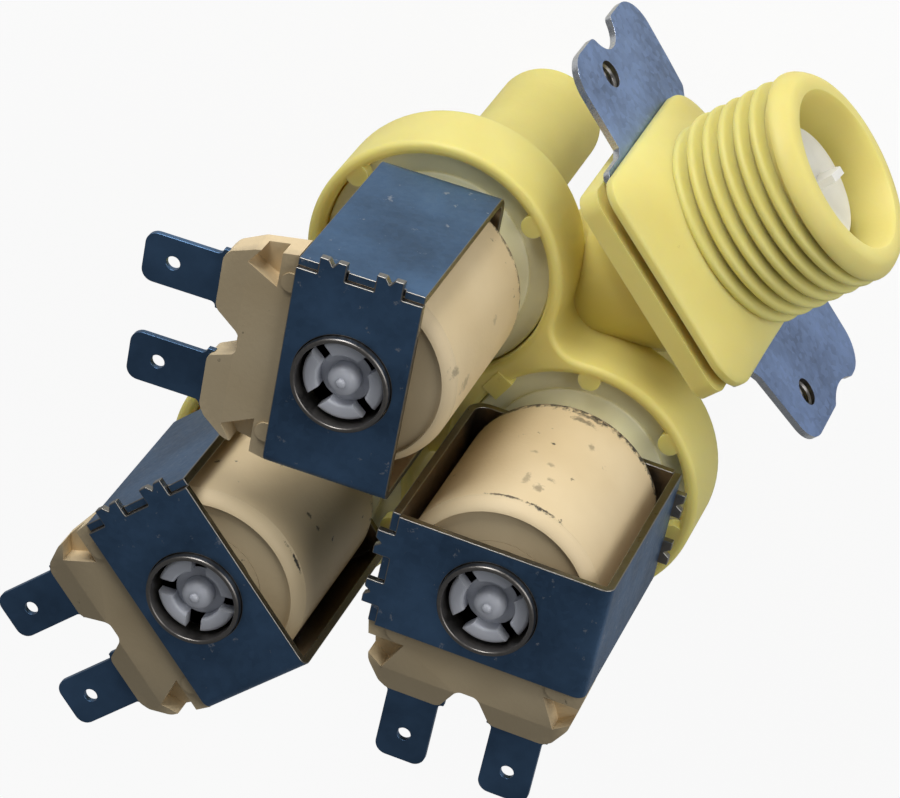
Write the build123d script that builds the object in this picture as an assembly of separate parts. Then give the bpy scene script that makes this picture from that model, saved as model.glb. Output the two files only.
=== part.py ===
# Triple inlet valve for a washing machine: one threaded inlet, three solenoid-driven outlets.
#
# The inlet's axis is X, pointing out of its mouth. Z points up, along the three solenoids, and
# the hose spigots point down. The origin is on the inlet's axis, in the mounting bracket's plane.
# Each valve is described in its own frame: x towards its terminals, y towards the yoke's bend,
# and z measured as in the whole part. Lengths are in millimetres, angles in degrees.

from build123d import *
from math import cos, radians, sin
import os

os.makedirs("parts", exist_ok=True)

# Which way the side valves' terminals point, and how closely the three cups stand
side_terminal_azimuth = 135.8
cup_setback = 8.6
cup_overlap = 0.4
cup_row_gap = 0.8

# Moulded body: cups
rim_z = 17.5
cup_margin = 2.6
cup_wall = 1.7
rim_round = 0.75
shoulder_z = 11.3
shoulder_w = 2.4
floor_z = 9.0
floor_t = 1.5
valley_round = 4.0
tab_places = 7
tab_start = -4.5
tabs_used = {"left": (0, 2, 4), "right": (0, 1, 3, 4, 5, 6), "middle": (0, 1, 2, 3, 4, 5, 6)}
tab_r = 1.4
tab_inset = 0.2
tab_drop = 0.05
square_tab_angle = 95.0
square_tab_turn = 15.0
square_tab_length = 3.1
square_tab_w = 2.3
square_tab_reach = 0.3
square_tab_rise = 0.12
web_t = 3.0

# Moulded body: seats, outlets, duct and ports
outlet_r = 7.1
outlet_bore_r = 5.2
outlet_end_z = -30.2
outlet_round = 0.9
outlet_root_r = 7.5
outlet_root_z = -10.2
seat_w = 1.4
seat_z = 11.0
duct_r = 8.6
duct_bore_r = 6.4
duct_end_wall = 0.8
port_r = 1.9
port_margin = 2.0
neck_r = 11.4
neck_length = 6.0
neck_taper = 7.0

# Moulded body: flanges round the bracket's slot
slot_w = 1.4
rear_flange_t = 2.5
rear_left_y = 15.2
rear_right_y = -13.4
rear_top_z = 19.2
rear_corner = 2.4
front_left_y = 15.4
front_right_y = -14.4
front_top_z = 19.4
front_corner = 5.2
front_left_corner = 3.0
flange_bottom = -13.8
front_flange_t = 1.3
block_end_x = 4.4
block_end_r = 12.9

# Moulded body: three-quarter inch hose thread and its mouth
thread_major_r = 13.5
thread_depth = 1.4
thread_pitch = 2.209
thread_ridges = 6
thread_crest_w = 0.9
thread_root_w = 2.06
thread_start_x = 4.85
thread_flank = 0.7
collar_x = 17.3
mouth_x = 20.4
mouth_r = 11.4
lip_length = 1.5
lip_round = 1.2
inlet_bore_r = 9.8

# Strainer and flow regulator in the inlet
strainer_seat_x = 5.6
strainer_flange_r = 9.6
strainer_flange_t = 1.4
strainer_face_x = 16.0
strainer_face_r = 7.5
strainer_wall = 1.0
strainer_window_count = 10
strainer_window_w = 2.6
strainer_window_margin = 1.6
pull_tab_length = 3.4
pull_tab_t = 1.3
pull_tab_w = 4.6
regulator_pocket_r = 8.4
regulator_pocket_x = -1.2
regulator_r = 8.3
regulator_t = 2.6
regulator_hole_r = 3.0
regulator_hole_circle_r = 4.9
regulator_hole_count = 6
regulator_boss_r = 1.6
washer_r = 7.6
washer_t = 3.0
washer_hole_r = 2.6
washer_gap = 0.1

# Zinc-plated bracket, slid round the neck from below
bracket_t = 0.9
bracket_gap = 0.3
screw_spacing = 46.4
screw_hole_r = 1.75
screw_collar_r = 2.9
screw_collar_length = 1.8
ear_tip_y = 28.0
ear_root_y = 16.6
ear_root_z = 8.8
left_ear_tip_z = 8.4
right_ear_tip_z = 5.9
left_ear_bottom = -17.2
right_ear_bottom = -19.2
ear_corner = 4.3
left_prong_w = 4.2
right_prong_w = 2.9
prong_low = 10.2
prong_top = 15.3
prong_round = 1.3
left_notch_r = 3.65
left_notch_z = -4.6
left_notch_depth = 2.9
left_notch_round = 1.1
right_notch_r = 7.8
right_notch_z = -9.3
right_notch_depth = 1.2
right_notch_round = 1.6
bracket_web_bottom = -17.2
bracket_web_margin = 3.0

# Yoke: two interlocking steel angles
yoke_clearance = 1.75
yoke_depth = 30.45
yoke_half_length = 13.5
yoke_half_w = 7.6
sheet_t = 1.0
front_bend_r = 1.4
back_bend_r = 2.6
finger_recess = 0.6
finger_gap = 0.08
joint_tab_length = 1.15
joint_tab_w = 3.25
joint_tab_centre = 3.4
joint_notch_w = 1.1
joint_notch_depth = 0.8

# Flux sleeves rolled into the yoke's two holes
sleeve_r = 5.9
sleeve_wall = 0.6
sleeve_gap = 0.05
sleeve_lip = 1.0
front_sleeve_length = 10.0
back_sleeve_length = 9.5

# Coil: overmould, bobbin and winding
coil_side_gap = 0.2
coil_front_gap = 1.84
coil_back_gap = 0.85
coil_rim_share = 0.46
coil_recess = 0.6
coil_edge_round = 0.5
boss_wall = 1.1
bobbin_bore_r = 6.0
bobbin_wall = 0.9
bobbin_flange_cover = 1.5
bobbin_flange_t = 1.0
bobbin_flange_inset = 3.0
winding_cover = 0.5
moulded_gap = 0.05

# Coil: terminal block and blades
block_top_drop = 1.0
block_t = 4.2
block_tip = 16.7
block_tip_half_w = 9.8
block_shoulder_x = 15.9
block_shoulder_half_w = 10.9
block_flank_x = 12.9
block_flank_half_w = 12.5
block_round = 1.4
block_ridge = 13.4
block_slope_drop = 1.3
block_notch_floor = 13.1
block_notch_floor_half = 1.3
block_notch_mouth_half = 3.2
block_notch_round = 1.1
pocket_tip_x = 13.5
pocket_tip_y = 10.7
pocket_side_x = 11.6
pocket_side_y = 13.4
pocket_root_x = 9.6
pocket_root_y = 8.7
pocket_depth = 2.6
bump_r = 1.2
bump_x = 8.05
bump_y = 9.9
bump_rise = 0.25
gusset_half_w = 8.0
gusset_depth = 9.0
gusset_reach = 2.0
gusset_embed = 1.0
terminal_w = 6.3
terminal_t = 0.8
terminal_y = 6.55
terminal_tip = 26.3
terminal_drop = 3.0
terminal_corner = 1.5
terminal_hole_r = 0.85
terminal_hole_x = 22.65
terminal_flare = 0.7
terminal_flare_low = 16.0
terminal_flare_high = 16.95
terminal_flare_r = 0.6
terminal_root_x = 13.9
terminal_root_w = 4.0

# Guide tube: flange under the rim's tabs, hub under the yoke, tube through the coil
guide_flange_gap = 0.2
guide_flange_low = 13.0
guide_flange_top = 15.5
guide_step_inset = 2.6
guide_step_h = 0.5
guide_hub_r = 8.6
guide_tube_r = 4.9
guide_end_drop = 2.0
guide_end_wall = 1.3
crown_drop = 0.4
crown_inner_r = 3.1
crown_segments = 4
crown_gap_angle = 23.0
crown_turn = 49.0
dome_r = 1.9
dome_lift = 0.1
pip_r = 0.6
pip_rise = 0.45
guide_dish_inset = 3.6
guide_dish_slope = 1.2
guide_dish_z = 14.3
guide_well_r = 6.5
guide_well_z = 16.1

# Plunger, its rubber tip and its return spring
plunger_r = 4.0
plunger_running_gap = 0.08
plunger_low = 15.2
plunger_headroom = 8.2
plunger_travel = 2.8
plunger_groove_r = 0.5
spring_pocket_r = 2.3
spring_pocket_depth = 6.0
spring_wire_r = 0.25
spring_coil_r = 1.85
spring_turns = 9
tip_r = 2.2
tip_rise = 1.6
tip_gap = 0.15

# Diaphragm and its rigid core
diaphragm_gap = 0.08
diaphragm_edge_gap = 0.3
bead_gap = 0.4
diaphragm_t = 0.9
convolution_inset = 2.4
convolution_half_w = 1.6
convolution_rise = 0.9
core_neck_r = 2.9
core_neck_gap = 0.1
core_flange_inset = 2.0
core_flange_t = 1.0
core_nipple_r = 1.9
core_nipple_h = 1.1
core_plug_r = 4.0
core_plug_length = 2.6
pilot_r = 0.5

# Radii and places that follow from the yoke's length
side_inner = yoke_half_length - sheet_t
coil_r = side_inner - coil_side_gap
cup_r = yoke_half_length + cup_margin
cup_bore_r = cup_r - cup_wall
chamber_r = cup_bore_r - shoulder_w
port_inset = chamber_r - port_margin
guide_flange_r = cup_bore_r - guide_flange_gap
guide_step_r = guide_flange_r - guide_step_inset
guide_dish_r = guide_flange_r - guide_dish_inset
diaphragm_r = cup_bore_r - diaphragm_edge_gap
bead_inner_r = chamber_r + bead_gap
convolution_r = chamber_r - convolution_inset
core_flange_r = convolution_r - convolution_half_w - core_flange_inset
side_valve_x = -(cup_r + cup_setback)
side_valve_y = cup_r - cup_overlap
middle_valve_x = side_valve_x - 2 * cup_r - cup_row_gap
valve_places = {
    "left": (side_valve_x, side_valve_y, side_terminal_azimuth),
    "right": (side_valve_x, -side_valve_y, -side_terminal_azimuth),
    "middle": (middle_valve_x, 0.0, 180.0),
}

# Heights and radii that follow from the sizes above
back_outer_z = rim_z + yoke_clearance
back_inner_z = back_outer_z + sheet_t
plate_face_z = back_outer_z + yoke_depth
plate_inner_z = plate_face_z - sheet_t
coil_front_z = plate_inner_z - coil_front_gap
coil_back_z = back_inner_z + coil_back_gap
bobbin_tube_r = bobbin_bore_r + bobbin_wall
boss_r = bobbin_tube_r + boss_wall
coil_rim_w = (coil_r - boss_r) * coil_rim_share
bobbin_flange_r = coil_r - bobbin_flange_cover
winding_r = bobbin_flange_r - winding_cover
seat_r = outlet_bore_r + seat_w
bobbin_low = coil_back_z + bobbin_flange_inset
bobbin_high = coil_front_z - bobbin_flange_inset
block_top_z = plate_face_z - block_top_drop
block_low_z = block_top_z - block_t
terminal_z = plate_face_z - terminal_drop
plunger_bore_r = plunger_r + plunger_running_gap
guide_end_z = plate_face_z - guide_end_drop
guide_bore_end = guide_end_z - guide_end_wall
plunger_length = guide_bore_end - plunger_headroom - plunger_low
cup_base_z = floor_z - floor_t
thread_root_r = thread_major_r - thread_depth
rear_face_x = -slot_w / 2 - rear_flange_t
diaphragm_low = seat_z + diaphragm_gap
diaphragm_top = diaphragm_low + diaphragm_t
core_flange_low = diaphragm_top + diaphragm_gap
core_top = core_flange_low + core_flange_t + core_nipple_h
tip_low = core_top + tip_gap


def upright(radius, low, high, x=0.0, y=0.0):
    """A cylinder along Z between two heights."""
    return Pos(x, y, (low + high) / 2) * Cylinder(radius, high - low)


def upright_ring(outer, inner, low, high):
    """A tube along Z between two heights."""
    return upright(outer, low, high) - upright(inner, low - 1, high + 1)


def level(radius, low, high):
    """A cylinder along X between two places."""
    return Pos((low + high) / 2, 0, 0) * Rot(0, 90, 0) * Cylinder(radius, high - low)


def slab(x, y, z):
    """A box from three (low, high) pairs."""
    size = [high - low for low, high in (x, y, z)]
    middle = [(high + low) / 2 for low, high in (x, y, z)]
    return Pos(*middle) * Box(*size)


def turned(outline):
    """A solid of revolution about Z from (radius, z) points."""
    profile = make_face(Plane.XZ * Polyline(*outline, close=True))
    return revolve(profile, Axis.Z)


def turned_about_x(outline):
    """A solid of revolution about X from (x, radius) points."""
    profile = make_face(Plane.XY * Polyline(*outline, close=True))
    return revolve(profile, Axis.X)


def raised(points, low, high):
    """A prism between two heights over an outline of (x, y) points."""
    return Pos(0, 0, low) * extrude(make_face(Polyline(*points, close=True)), high - low)


def flange_plan(left_y, right_y, top_z, corner, left_corner):
    """Rounded outline of an inlet flange, drawn in the plane across the inlet."""
    plan = make_face(Polyline((left_y, top_z), (right_y, top_z), (right_y, flange_bottom),
                              (left_y, flange_bottom), close=True))
    others = plan.vertices().sort_by(lambda v: v.X + v.Y)[:-1]
    plan = fillet(others, corner)
    high_left = plan.vertices().sort_by(lambda v: v.X + v.Y)[-1]
    return fillet(high_left, left_corner)


def across(sketch, x):
    """Set a (y, z) drawing across the inlet at one place on X."""
    return Plane(origin=(x, 0, 0), x_dir=(0, 1, 0), z_dir=(1, 0, 0)) * sketch


# Moulded body

def cup_walls():
    """Outer walls of the three cups, the two side cups run together with a rounded valley."""
    side_cups = Pos(side_valve_x, side_valve_y) * Circle(cup_r)
    side_cups += Pos(side_valve_x, -side_valve_y) * Circle(cup_r)
    side_cups = fillet(side_cups.vertices(), valley_round)
    middle_cup = Pos(middle_valve_x, 0) * Circle(cup_r)
    walls = Pos(0, 0, cup_base_z) * extrude(side_cups, rim_z - cup_base_z)
    walls += Pos(0, 0, cup_base_z) * extrude(middle_cup, rim_z - cup_base_z)
    corners = [place[:2] for place in valve_places.values()]
    return walls + raised(corners, cup_base_z, cup_base_z + web_t)


def cup_cavity():
    """Everything cut from one cup: the bonnet's bore, the chamber and the outlet's bore."""
    cavity = upright(cup_bore_r, shoulder_z, rim_z + 1)
    cavity += upright(chamber_r, floor_z, shoulder_z + 1)
    cavity -= upright(seat_r, floor_z - 1, seat_z)
    return cavity + upright(outlet_bore_r, outlet_end_z - 1, seat_z + 1)


def spigot():
    """Outlet tube for one cup: thicker root, and a rounded outer edge at its open end."""
    tube = upright(outlet_r, outlet_end_z, floor_z)
    tube = fillet(tube.edges().sort_by(Axis.Z)[0], outlet_round)
    return tube + upright(outlet_root_r, outlet_root_z, floor_z)


def rim_tabs(used):
    """Snap tabs inside one cup's rim, above the guide tube's flange, at the used ones of the places."""
    tabs = Part()
    for index in used:
        angle = radians(tab_start + index * 360 / tab_places)
        reach = cup_bore_r - tab_inset
        tabs += upright(tab_r, guide_flange_top + tab_inset, rim_z - tab_drop,
                        reach * cos(angle), reach * sin(angle))
    return tabs & upright(cup_bore_r + tab_r / 2, floor_z, rim_z)


def square_tab():
    """Square tab lying across the right cup's rim, in the valley between the two side cups."""
    angle = radians(square_tab_angle)
    reach = cup_bore_r + square_tab_reach
    block = slab((-square_tab_length / 2, square_tab_length / 2), (-square_tab_w / 2, square_tab_w / 2),
                 (guide_flange_top + tab_inset, rim_z + square_tab_rise))
    place = Pos(side_valve_x + reach * cos(angle), reach * sin(angle) - side_valve_y, 0)
    return place * Rot(0, 0, square_tab_turn) * block


def manifold():
    """Neck behind the flange and the duct that runs under the cups to the middle valve."""
    taper_x = rear_face_x - neck_length
    duct_x = taper_x - neck_taper
    return turned_about_x([
        (rear_face_x + 1, 0), (rear_face_x + 1, neck_r), (taper_x, neck_r),
        (duct_x, duct_r), (middle_valve_x, duct_r), (middle_valve_x, 0)])


def flanges():
    """Rear flange, slot core and the tapered front block under the thread."""
    rear_plan = flange_plan(rear_left_y, rear_right_y, rear_top_z, rear_corner, rear_corner)
    rear = extrude(across(rear_plan, rear_face_x), rear_flange_t)
    core = level(neck_r, rear_face_x, slot_w / 2 + 1)
    front_x = slot_w / 2
    plan = flange_plan(front_left_y, front_right_y, front_top_z, front_corner, front_left_corner)
    front = extrude(across(plan, front_x), front_flange_t)
    tapered = loft([across(plan, front_x + front_flange_t), across(Circle(block_end_r), block_end_x)])
    return rear + core + front + tapered


def inlet():
    """Threaded inlet tube, its ridges turned as rings, with its plain collar and rounded mouth."""
    outline = [(slot_w / 2, 0), (slot_w / 2, thread_root_r)]
    for index in range(thread_ridges):
        x = thread_start_x + index * thread_pitch
        outline += [(x - thread_root_w / 2, thread_root_r), (x - thread_crest_w / 2, thread_major_r),
                    (x + thread_crest_w / 2, thread_major_r), (x + thread_root_w / 2, thread_root_r)]
    outline += [(collar_x, thread_root_r), (collar_x + thread_flank, thread_major_r),
                (mouth_x - lip_length, thread_major_r), (mouth_x, mouth_r), (mouth_x, 0)]
    tube = turned_about_x(outline)
    shoulder = tube.edges().filter_by(lambda e: abs(e.center().X - mouth_x + lip_length) < 0.01)
    return fillet(shoulder, lip_round)


def valve_body():
    """The yellow moulding: inlet, flanges, manifold, three cups and three spigots."""
    body = cup_walls() + manifold() + flanges()
    for x, y, turn in valve_places.values():
        body += Pos(x, y, 0) * spigot()
    for x, y, turn in valve_places.values():
        body -= Pos(x, y, 0) * cup_cavity()
    rims = body.edges().filter_by(lambda edge: abs(edge.center().Z - rim_z) < 0.01)
    body = fillet(rims, rim_round)
    for side, (x, y, turn) in valve_places.items():
        body += Pos(x, y, 0) * rim_tabs(tabs_used[side])
    body += square_tab()
    body += inlet()
    body -= level(inlet_bore_r, strainer_seat_x, mouth_x + 1)
    body -= level(regulator_pocket_r, regulator_pocket_x, strainer_seat_x + 1)
    body -= level(duct_bore_r, middle_valve_x + outlet_r + duct_end_wall, regulator_pocket_x + 1)
    for side in (1, -1):
        body -= upright(port_r, 0, floor_z + 1, side_valve_x, side * (side_valve_y - port_inset))
    body -= upright(port_r, 0, floor_z + 1, middle_valve_x + port_inset, 0)
    return body


# Inlet fittings

def inlet_strainer():
    """Tapered strainer cup: flange, windowed wall, closed face and pull tab."""
    back_x = strainer_seat_x
    flange_x = back_x + strainer_flange_t
    base_r = strainer_flange_r - strainer_wall
    cup = turned_about_x([
        (back_x, base_r - strainer_wall), (back_x, strainer_flange_r), (flange_x, strainer_flange_r),
        (flange_x, base_r), (strainer_face_x, strainer_face_r), (strainer_face_x, 0),
        (strainer_face_x - strainer_wall, 0),
        (strainer_face_x - strainer_wall, strainer_face_r - strainer_wall)])
    low = flange_x + strainer_window_margin
    high = strainer_face_x - strainer_wall - strainer_window_margin
    for index in range(strainer_window_count):
        window = slab((low, high), (-strainer_window_w / 2, strainer_window_w / 2), (0, strainer_flange_r))
        cup -= Rot(index * 360 / strainer_window_count, 0, 0) * window
    tab = slab((strainer_face_x, strainer_face_x + pull_tab_length),
               (-pull_tab_t / 2, pull_tab_t / 2), (-pull_tab_w / 2, pull_tab_w / 2))
    return cup + tab


def flow_regulator():
    """Moulded disc with a ring of flow holes and a boss that centres the rubber washer."""
    high = strainer_seat_x - 0.1
    low = high - regulator_t
    disc = level(regulator_r, low, high)
    disc += level(regulator_boss_r, low - washer_gap, low)
    for index in range(regulator_hole_count):
        angle = radians(index * 360 / regulator_hole_count)
        place = Pos(0, regulator_hole_circle_r * cos(angle), regulator_hole_circle_r * sin(angle))
        disc -= place * level(regulator_hole_r / 2, low - 1, high + 1)
    return disc


def flow_washer():
    """Rubber washer that narrows as the supply pressure rises."""
    high = strainer_seat_x - 0.1 - regulator_t - washer_gap
    low = high - washer_t
    return turned_about_x([
        (low, washer_hole_r + 0.6), (low, washer_r), (high, washer_r), (high, washer_hole_r),
        (high - washer_t / 2, washer_hole_r)])


# Mounting bracket

def ear(side, prong_w, tip_z, bottom, notch_r, notch_z, notch_depth, notch_round):
    """One ear of the bracket as a (y, z) drawing: prong beside the neck, rounded tip, notched edge."""
    inner = neck_r + bracket_gap
    prong = inner + prong_w
    outline = [(inner, bottom), (inner, prong_top), (prong, prong_top), (prong, prong_low),
               (ear_root_y, ear_root_z), (ear_tip_y, tip_z), (ear_tip_y, bottom)]
    plan = make_face(Polyline(*[(side * y, z) for y, z in outline], close=True))
    plan = fillet([v for v in plan.vertices() if abs(v.X) > ear_tip_y - bracket_gap], ear_corner)
    plan = fillet([v for v in plan.vertices() if v.Y > prong_top - bracket_gap], prong_round)
    plan -= Pos(side * (ear_tip_y - notch_depth + notch_r), notch_z) * Circle(notch_r)
    half = (notch_r ** 2 - (notch_r - notch_depth) ** 2) ** 0.5
    mouth = [v for v in plan.vertices()
             if abs(abs(v.X) - ear_tip_y) < 0.01 and abs(abs(v.Y - notch_z) - half) < 0.01]
    return fillet(mouth, notch_round)


def mounting_bracket():
    """Flat plate with a U slot, two ears and two extruded screw holes."""
    plan = ear(1, left_prong_w, left_ear_tip_z, left_ear_bottom, left_notch_r, left_notch_z,
               left_notch_depth, left_notch_round)
    plan += ear(-1, right_prong_w, right_ear_tip_z, right_ear_bottom, right_notch_r, right_notch_z,
                right_notch_depth, right_notch_round)
    web_half = neck_r + bracket_web_margin
    web = Pos(0, bracket_web_bottom / 2) * Rectangle(2 * web_half, -bracket_web_bottom)
    plan = plan + web - Circle(neck_r + bracket_gap)
    plate = extrude(across(plan, -bracket_t / 2), bracket_t)
    for side in (1, -1):
        place = Pos(0, side * screw_spacing / 2, 0)
        plate += place * level(screw_collar_r, -bracket_t / 2 - screw_collar_length, -bracket_t / 2)
        plate -= place * level(screw_hole_r, -bracket_t / 2 - screw_collar_length - 1, bracket_t)
    return plate


# Yoke

def joint_tabs(reach, low, high):
    """Staked tabs of a yoke plate, drawn towards -y, each with a notch in its end."""
    tabs = Part()
    for side in (1, -1):
        x = side * joint_tab_centre
        half = joint_tab_w / 2
        end = -(reach + joint_tab_length)
        tabs += raised([
            (x - half, -side_inner), (x - half, end), (x - joint_notch_w / 2, end),
            (x, end + joint_notch_depth), (x + joint_notch_w / 2, end), (x + half, end),
            (x + half, -side_inner)], low, high)
    return tabs


def joint_slots(low, high):
    """Space that the other plate's tabs take out of a side plate at -y."""
    slots = Part()
    half = joint_tab_w / 2 + finger_gap
    for side in (1, -1):
        x = side * joint_tab_centre
        slots += slab((x - half, x + half), (-yoke_half_length - 1, -side_inner + 1), (low, high))
    return slots


def yoke_angle(bend_r):
    """One steel angle: a plate with its outer face at z = 0, its tabs at -y, and a bent-down side.

    The side plate hangs at +y and its lower end carries the fingers of the other joint."""
    inner_r = bend_r - sheet_t
    side_low = -yoke_depth + finger_recess
    plate = slab((-yoke_half_w, yoke_half_w), (-side_inner, yoke_half_length), (-sheet_t, 0))
    side = slab((-yoke_half_w, yoke_half_w), (side_inner, yoke_half_length), (side_low, 0))
    angle = plate + side
    corner = slab((-yoke_half_w, yoke_half_w), (side_inner - inner_r, side_inner),
                  (-sheet_t - inner_r, -sheet_t))
    hollow = Pos(0, side_inner - inner_r, -sheet_t - inner_r) * Rot(0, 90, 0) * Cylinder(
        inner_r, 4 * yoke_half_w)
    angle += corner - hollow
    outer_edge = angle.edges().filter_by(Axis.X).sort_by(lambda e: e.center().Y + e.center().Z)[-1]
    angle = fillet(outer_edge, bend_r)
    angle += joint_tabs(yoke_half_length, -sheet_t, 0)
    finger_room = Rot(0, 0, 180) * joint_slots(-yoke_depth - 1, -yoke_depth + sheet_t + finger_gap)
    return angle - finger_room


def front_yoke():
    """Front plate and the smooth side plate."""
    angle = Pos(0, 0, plate_face_z) * yoke_angle(front_bend_r)
    return angle - upright(sleeve_r + sleeve_gap, plate_inner_z - 1, plate_face_z + 1)


def back_yoke():
    """Back plate and the other side plate: the same angle turned end over end."""
    angle = Pos(0, 0, back_outer_z) * Rot(180, 0, 0) * yoke_angle(back_bend_r)
    return angle - upright(sleeve_r + sleeve_gap, back_outer_z - 1, back_inner_z + 1)


def front_sleeve():
    """Steel sleeve rolled into the front plate, its rounded lip standing proud."""
    top = plate_face_z + sleeve_lip
    sleeve = upright_ring(sleeve_r, sleeve_r - sleeve_wall, top - front_sleeve_length, top)
    lip = sleeve.edges().filter_by(lambda edge: abs(edge.center().Z - top) < 0.01)
    return fillet(lip, sleeve_wall * 0.4)


def back_sleeve():
    """Steel sleeve in the back plate, ending flush with its outer face."""
    return upright_ring(sleeve_r, sleeve_r - sleeve_wall, back_outer_z, back_outer_z + back_sleeve_length)


# Coil

def terminal(side):
    """Tab terminal with rounded corners, a hole, flared shoulders and a root held in the block."""
    half = terminal_w / 2
    root = terminal_root_w / 2
    flare = half + terminal_flare
    outline = [(terminal_root_x, root), (terminal_flare_low, root), (terminal_flare_low, flare),
               (terminal_flare_high, flare), (terminal_flare_high, half), (terminal_tip, half)]
    outline += [(x, -y) for x, y in reversed(outline)]
    plan = make_face(Polyline(*outline, close=True))
    bends = [v for v in plan.vertices()
             if abs(v.X - terminal_flare_high) < 0.01 and abs(v.Y) < half + 0.01]
    plan = fillet(bends, terminal_flare_r)
    tips = [v for v in plan.vertices() if v.X > terminal_tip - 0.01]
    plan = fillet(tips, terminal_corner)
    y = side * terminal_y
    plan = Pos(0, y) * plan
    plan -= Pos(terminal_hole_x, y) * Circle(terminal_hole_r)
    return Pos(0, 0, terminal_z - terminal_t / 2) * extrude(plan, terminal_t)


def terminal_block():
    """Block beside the coil: notched between the blades, bevelled outside, pocketed at its ends."""
    plate_edge = yoke_half_w + moulded_gap
    half_outline = [
        (plate_edge, yoke_half_length), (block_flank_x, block_flank_half_w),
        (block_shoulder_x, block_shoulder_half_w), (block_tip, block_tip_half_w),
        (block_tip, block_notch_mouth_half), (block_notch_floor, block_notch_floor_half)]
    outline = half_outline + [(x, -y) for x, y in reversed(half_outline)]
    plan = make_face(Polyline(*outline, close=True))
    outer = [v for v in plan.vertices() if v.X > plate_edge + 1 and abs(v.Y) > block_tip_half_w - 0.01]
    plan = fillet(outer, block_round)
    notch = [v for v in plan.vertices() if v.X > plate_edge + 1 and abs(v.Y) < block_notch_mouth_half + 0.01]
    plan = fillet(notch, block_notch_round)
    block = Pos(0, 0, block_low_z) * extrude(plan, block_t)
    slope_tip_z = block_top_z - block_slope_drop
    bevel = make_face(Plane.XZ * Polyline(
        (block_ridge, block_top_z), (block_tip + 1, slope_tip_z), (block_tip + 1, block_top_z + 1),
        (block_ridge, block_top_z + 1), close=True))
    block -= extrude(bevel, 2 * yoke_half_length, both=True)
    gusset = make_face(Plane.XZ * Polyline(
        (plate_edge, block_low_z), (coil_r + gusset_reach, block_low_z),
        (coil_r - gusset_embed, block_low_z - gusset_depth), (plate_edge, block_low_z - gusset_depth),
        close=True))
    block += extrude(gusset, gusset_half_w, both=True)
    pocket = [(pocket_tip_x, pocket_tip_y), (pocket_side_x, pocket_side_y),
              (pocket_root_x, pocket_side_y), (pocket_root_x, pocket_root_y)]
    beside_plate = slab((plate_edge, block_tip), (-yoke_half_length, yoke_half_length),
                        (block_low_z, plate_face_z))
    for side in (1, -1):
        block -= raised([(x, side * y) for x, y in pocket], block_top_z - pocket_depth, block_top_z + 1)
        block += beside_plate & upright(bump_r, block_top_z - pocket_depth, block_top_z + bump_rise,
                                        bump_x, side * bump_y)
    return block


def coil_overmould():
    """Moulded case of the coil: drum, rims, bosses and terminal block round the wound bobbin."""
    drum = upright(coil_r, coil_back_z, coil_front_z)
    drum -= upright_ring(coil_r - coil_rim_w, boss_r, coil_front_z - coil_recess, coil_front_z + 1)
    ends = drum.edges().filter_by(GeomType.CIRCLE).sort_by(lambda edge: edge.radius)[-2:]
    drum = fillet(ends, coil_edge_round)
    case = drum + terminal_block()
    case += upright(boss_r, back_inner_z, plate_inner_z)
    case -= upright(bobbin_tube_r + moulded_gap, back_inner_z - 1, plate_inner_z + 1)
    case -= upright(bobbin_flange_r + moulded_gap, bobbin_low - moulded_gap, bobbin_high + moulded_gap)
    for side in (1, -1):
        case -= terminal(side)
    return case


def bobbin():
    """Spool that carries the winding, its ends reaching both yoke plates."""
    spool = upright(bobbin_tube_r, back_inner_z, plate_inner_z)
    spool += upright(bobbin_flange_r, bobbin_low, bobbin_low + bobbin_flange_t)
    spool += upright(bobbin_flange_r, bobbin_high - bobbin_flange_t, bobbin_high)
    return spool - upright(bobbin_bore_r, back_inner_z - 1, plate_inner_z + 1)


def winding():
    """Copper wire wound between the bobbin's flanges, taken as one ring."""
    return upright_ring(winding_r, bobbin_tube_r + moulded_gap, bobbin_low + bobbin_flange_t + moulded_gap,
                        bobbin_high - bobbin_flange_t - moulded_gap)


# Guide tube and what moves in it

def crown():
    """Segments round the closed end of the guide tube, and the small dome between them."""
    top = plate_face_z - crown_drop
    ring = upright_ring(guide_tube_r, crown_inner_r, guide_end_z - 0.2, top)
    gap_w = 2 * guide_tube_r * sin(radians(crown_gap_angle / 2))
    for index in range(crown_segments):
        angle = crown_turn + index * 360 / crown_segments
        gap = slab((0, 2 * guide_tube_r), (-gap_w / 2, gap_w / 2), (guide_end_z, top + 1))
        ring -= Rot(0, 0, angle) * gap
    dome_top = plate_face_z + dome_lift
    dome = upright(dome_r, guide_end_z - 0.2, dome_top)
    dome = fillet(dome.edges().sort_by(Axis.Z)[-1], dome_r * 0.6)
    pip = upright(pip_r, guide_end_z, dome_top + pip_rise)
    pip = fillet(pip.edges().sort_by(Axis.Z)[-1], pip_r * 0.8)
    return ring + dome + pip


def guide_tube():
    """Bonnet in one piece: flange, hub and the closed tube that the plunger slides in."""
    bonnet = turned([
        (0, guide_flange_low), (guide_flange_r, guide_flange_low), (guide_flange_r, guide_flange_top),
        (guide_step_r, guide_flange_top), (guide_step_r, guide_flange_top + guide_step_h),
        (guide_hub_r, guide_flange_top + guide_step_h), (guide_hub_r, back_outer_z),
        (guide_tube_r, back_outer_z), (guide_tube_r, guide_end_z), (0, guide_end_z)])
    bonnet -= turned([
        (0, guide_flange_low - 1), (guide_dish_r, guide_flange_low - 1), (guide_dish_r, guide_flange_low),
        (guide_dish_r - guide_dish_slope, guide_dish_z), (guide_well_r, guide_dish_z),
        (guide_well_r, guide_well_z),
        (plunger_bore_r, guide_well_z), (plunger_bore_r, guide_bore_end), (0, guide_bore_end)])
    return bonnet + crown()


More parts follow.
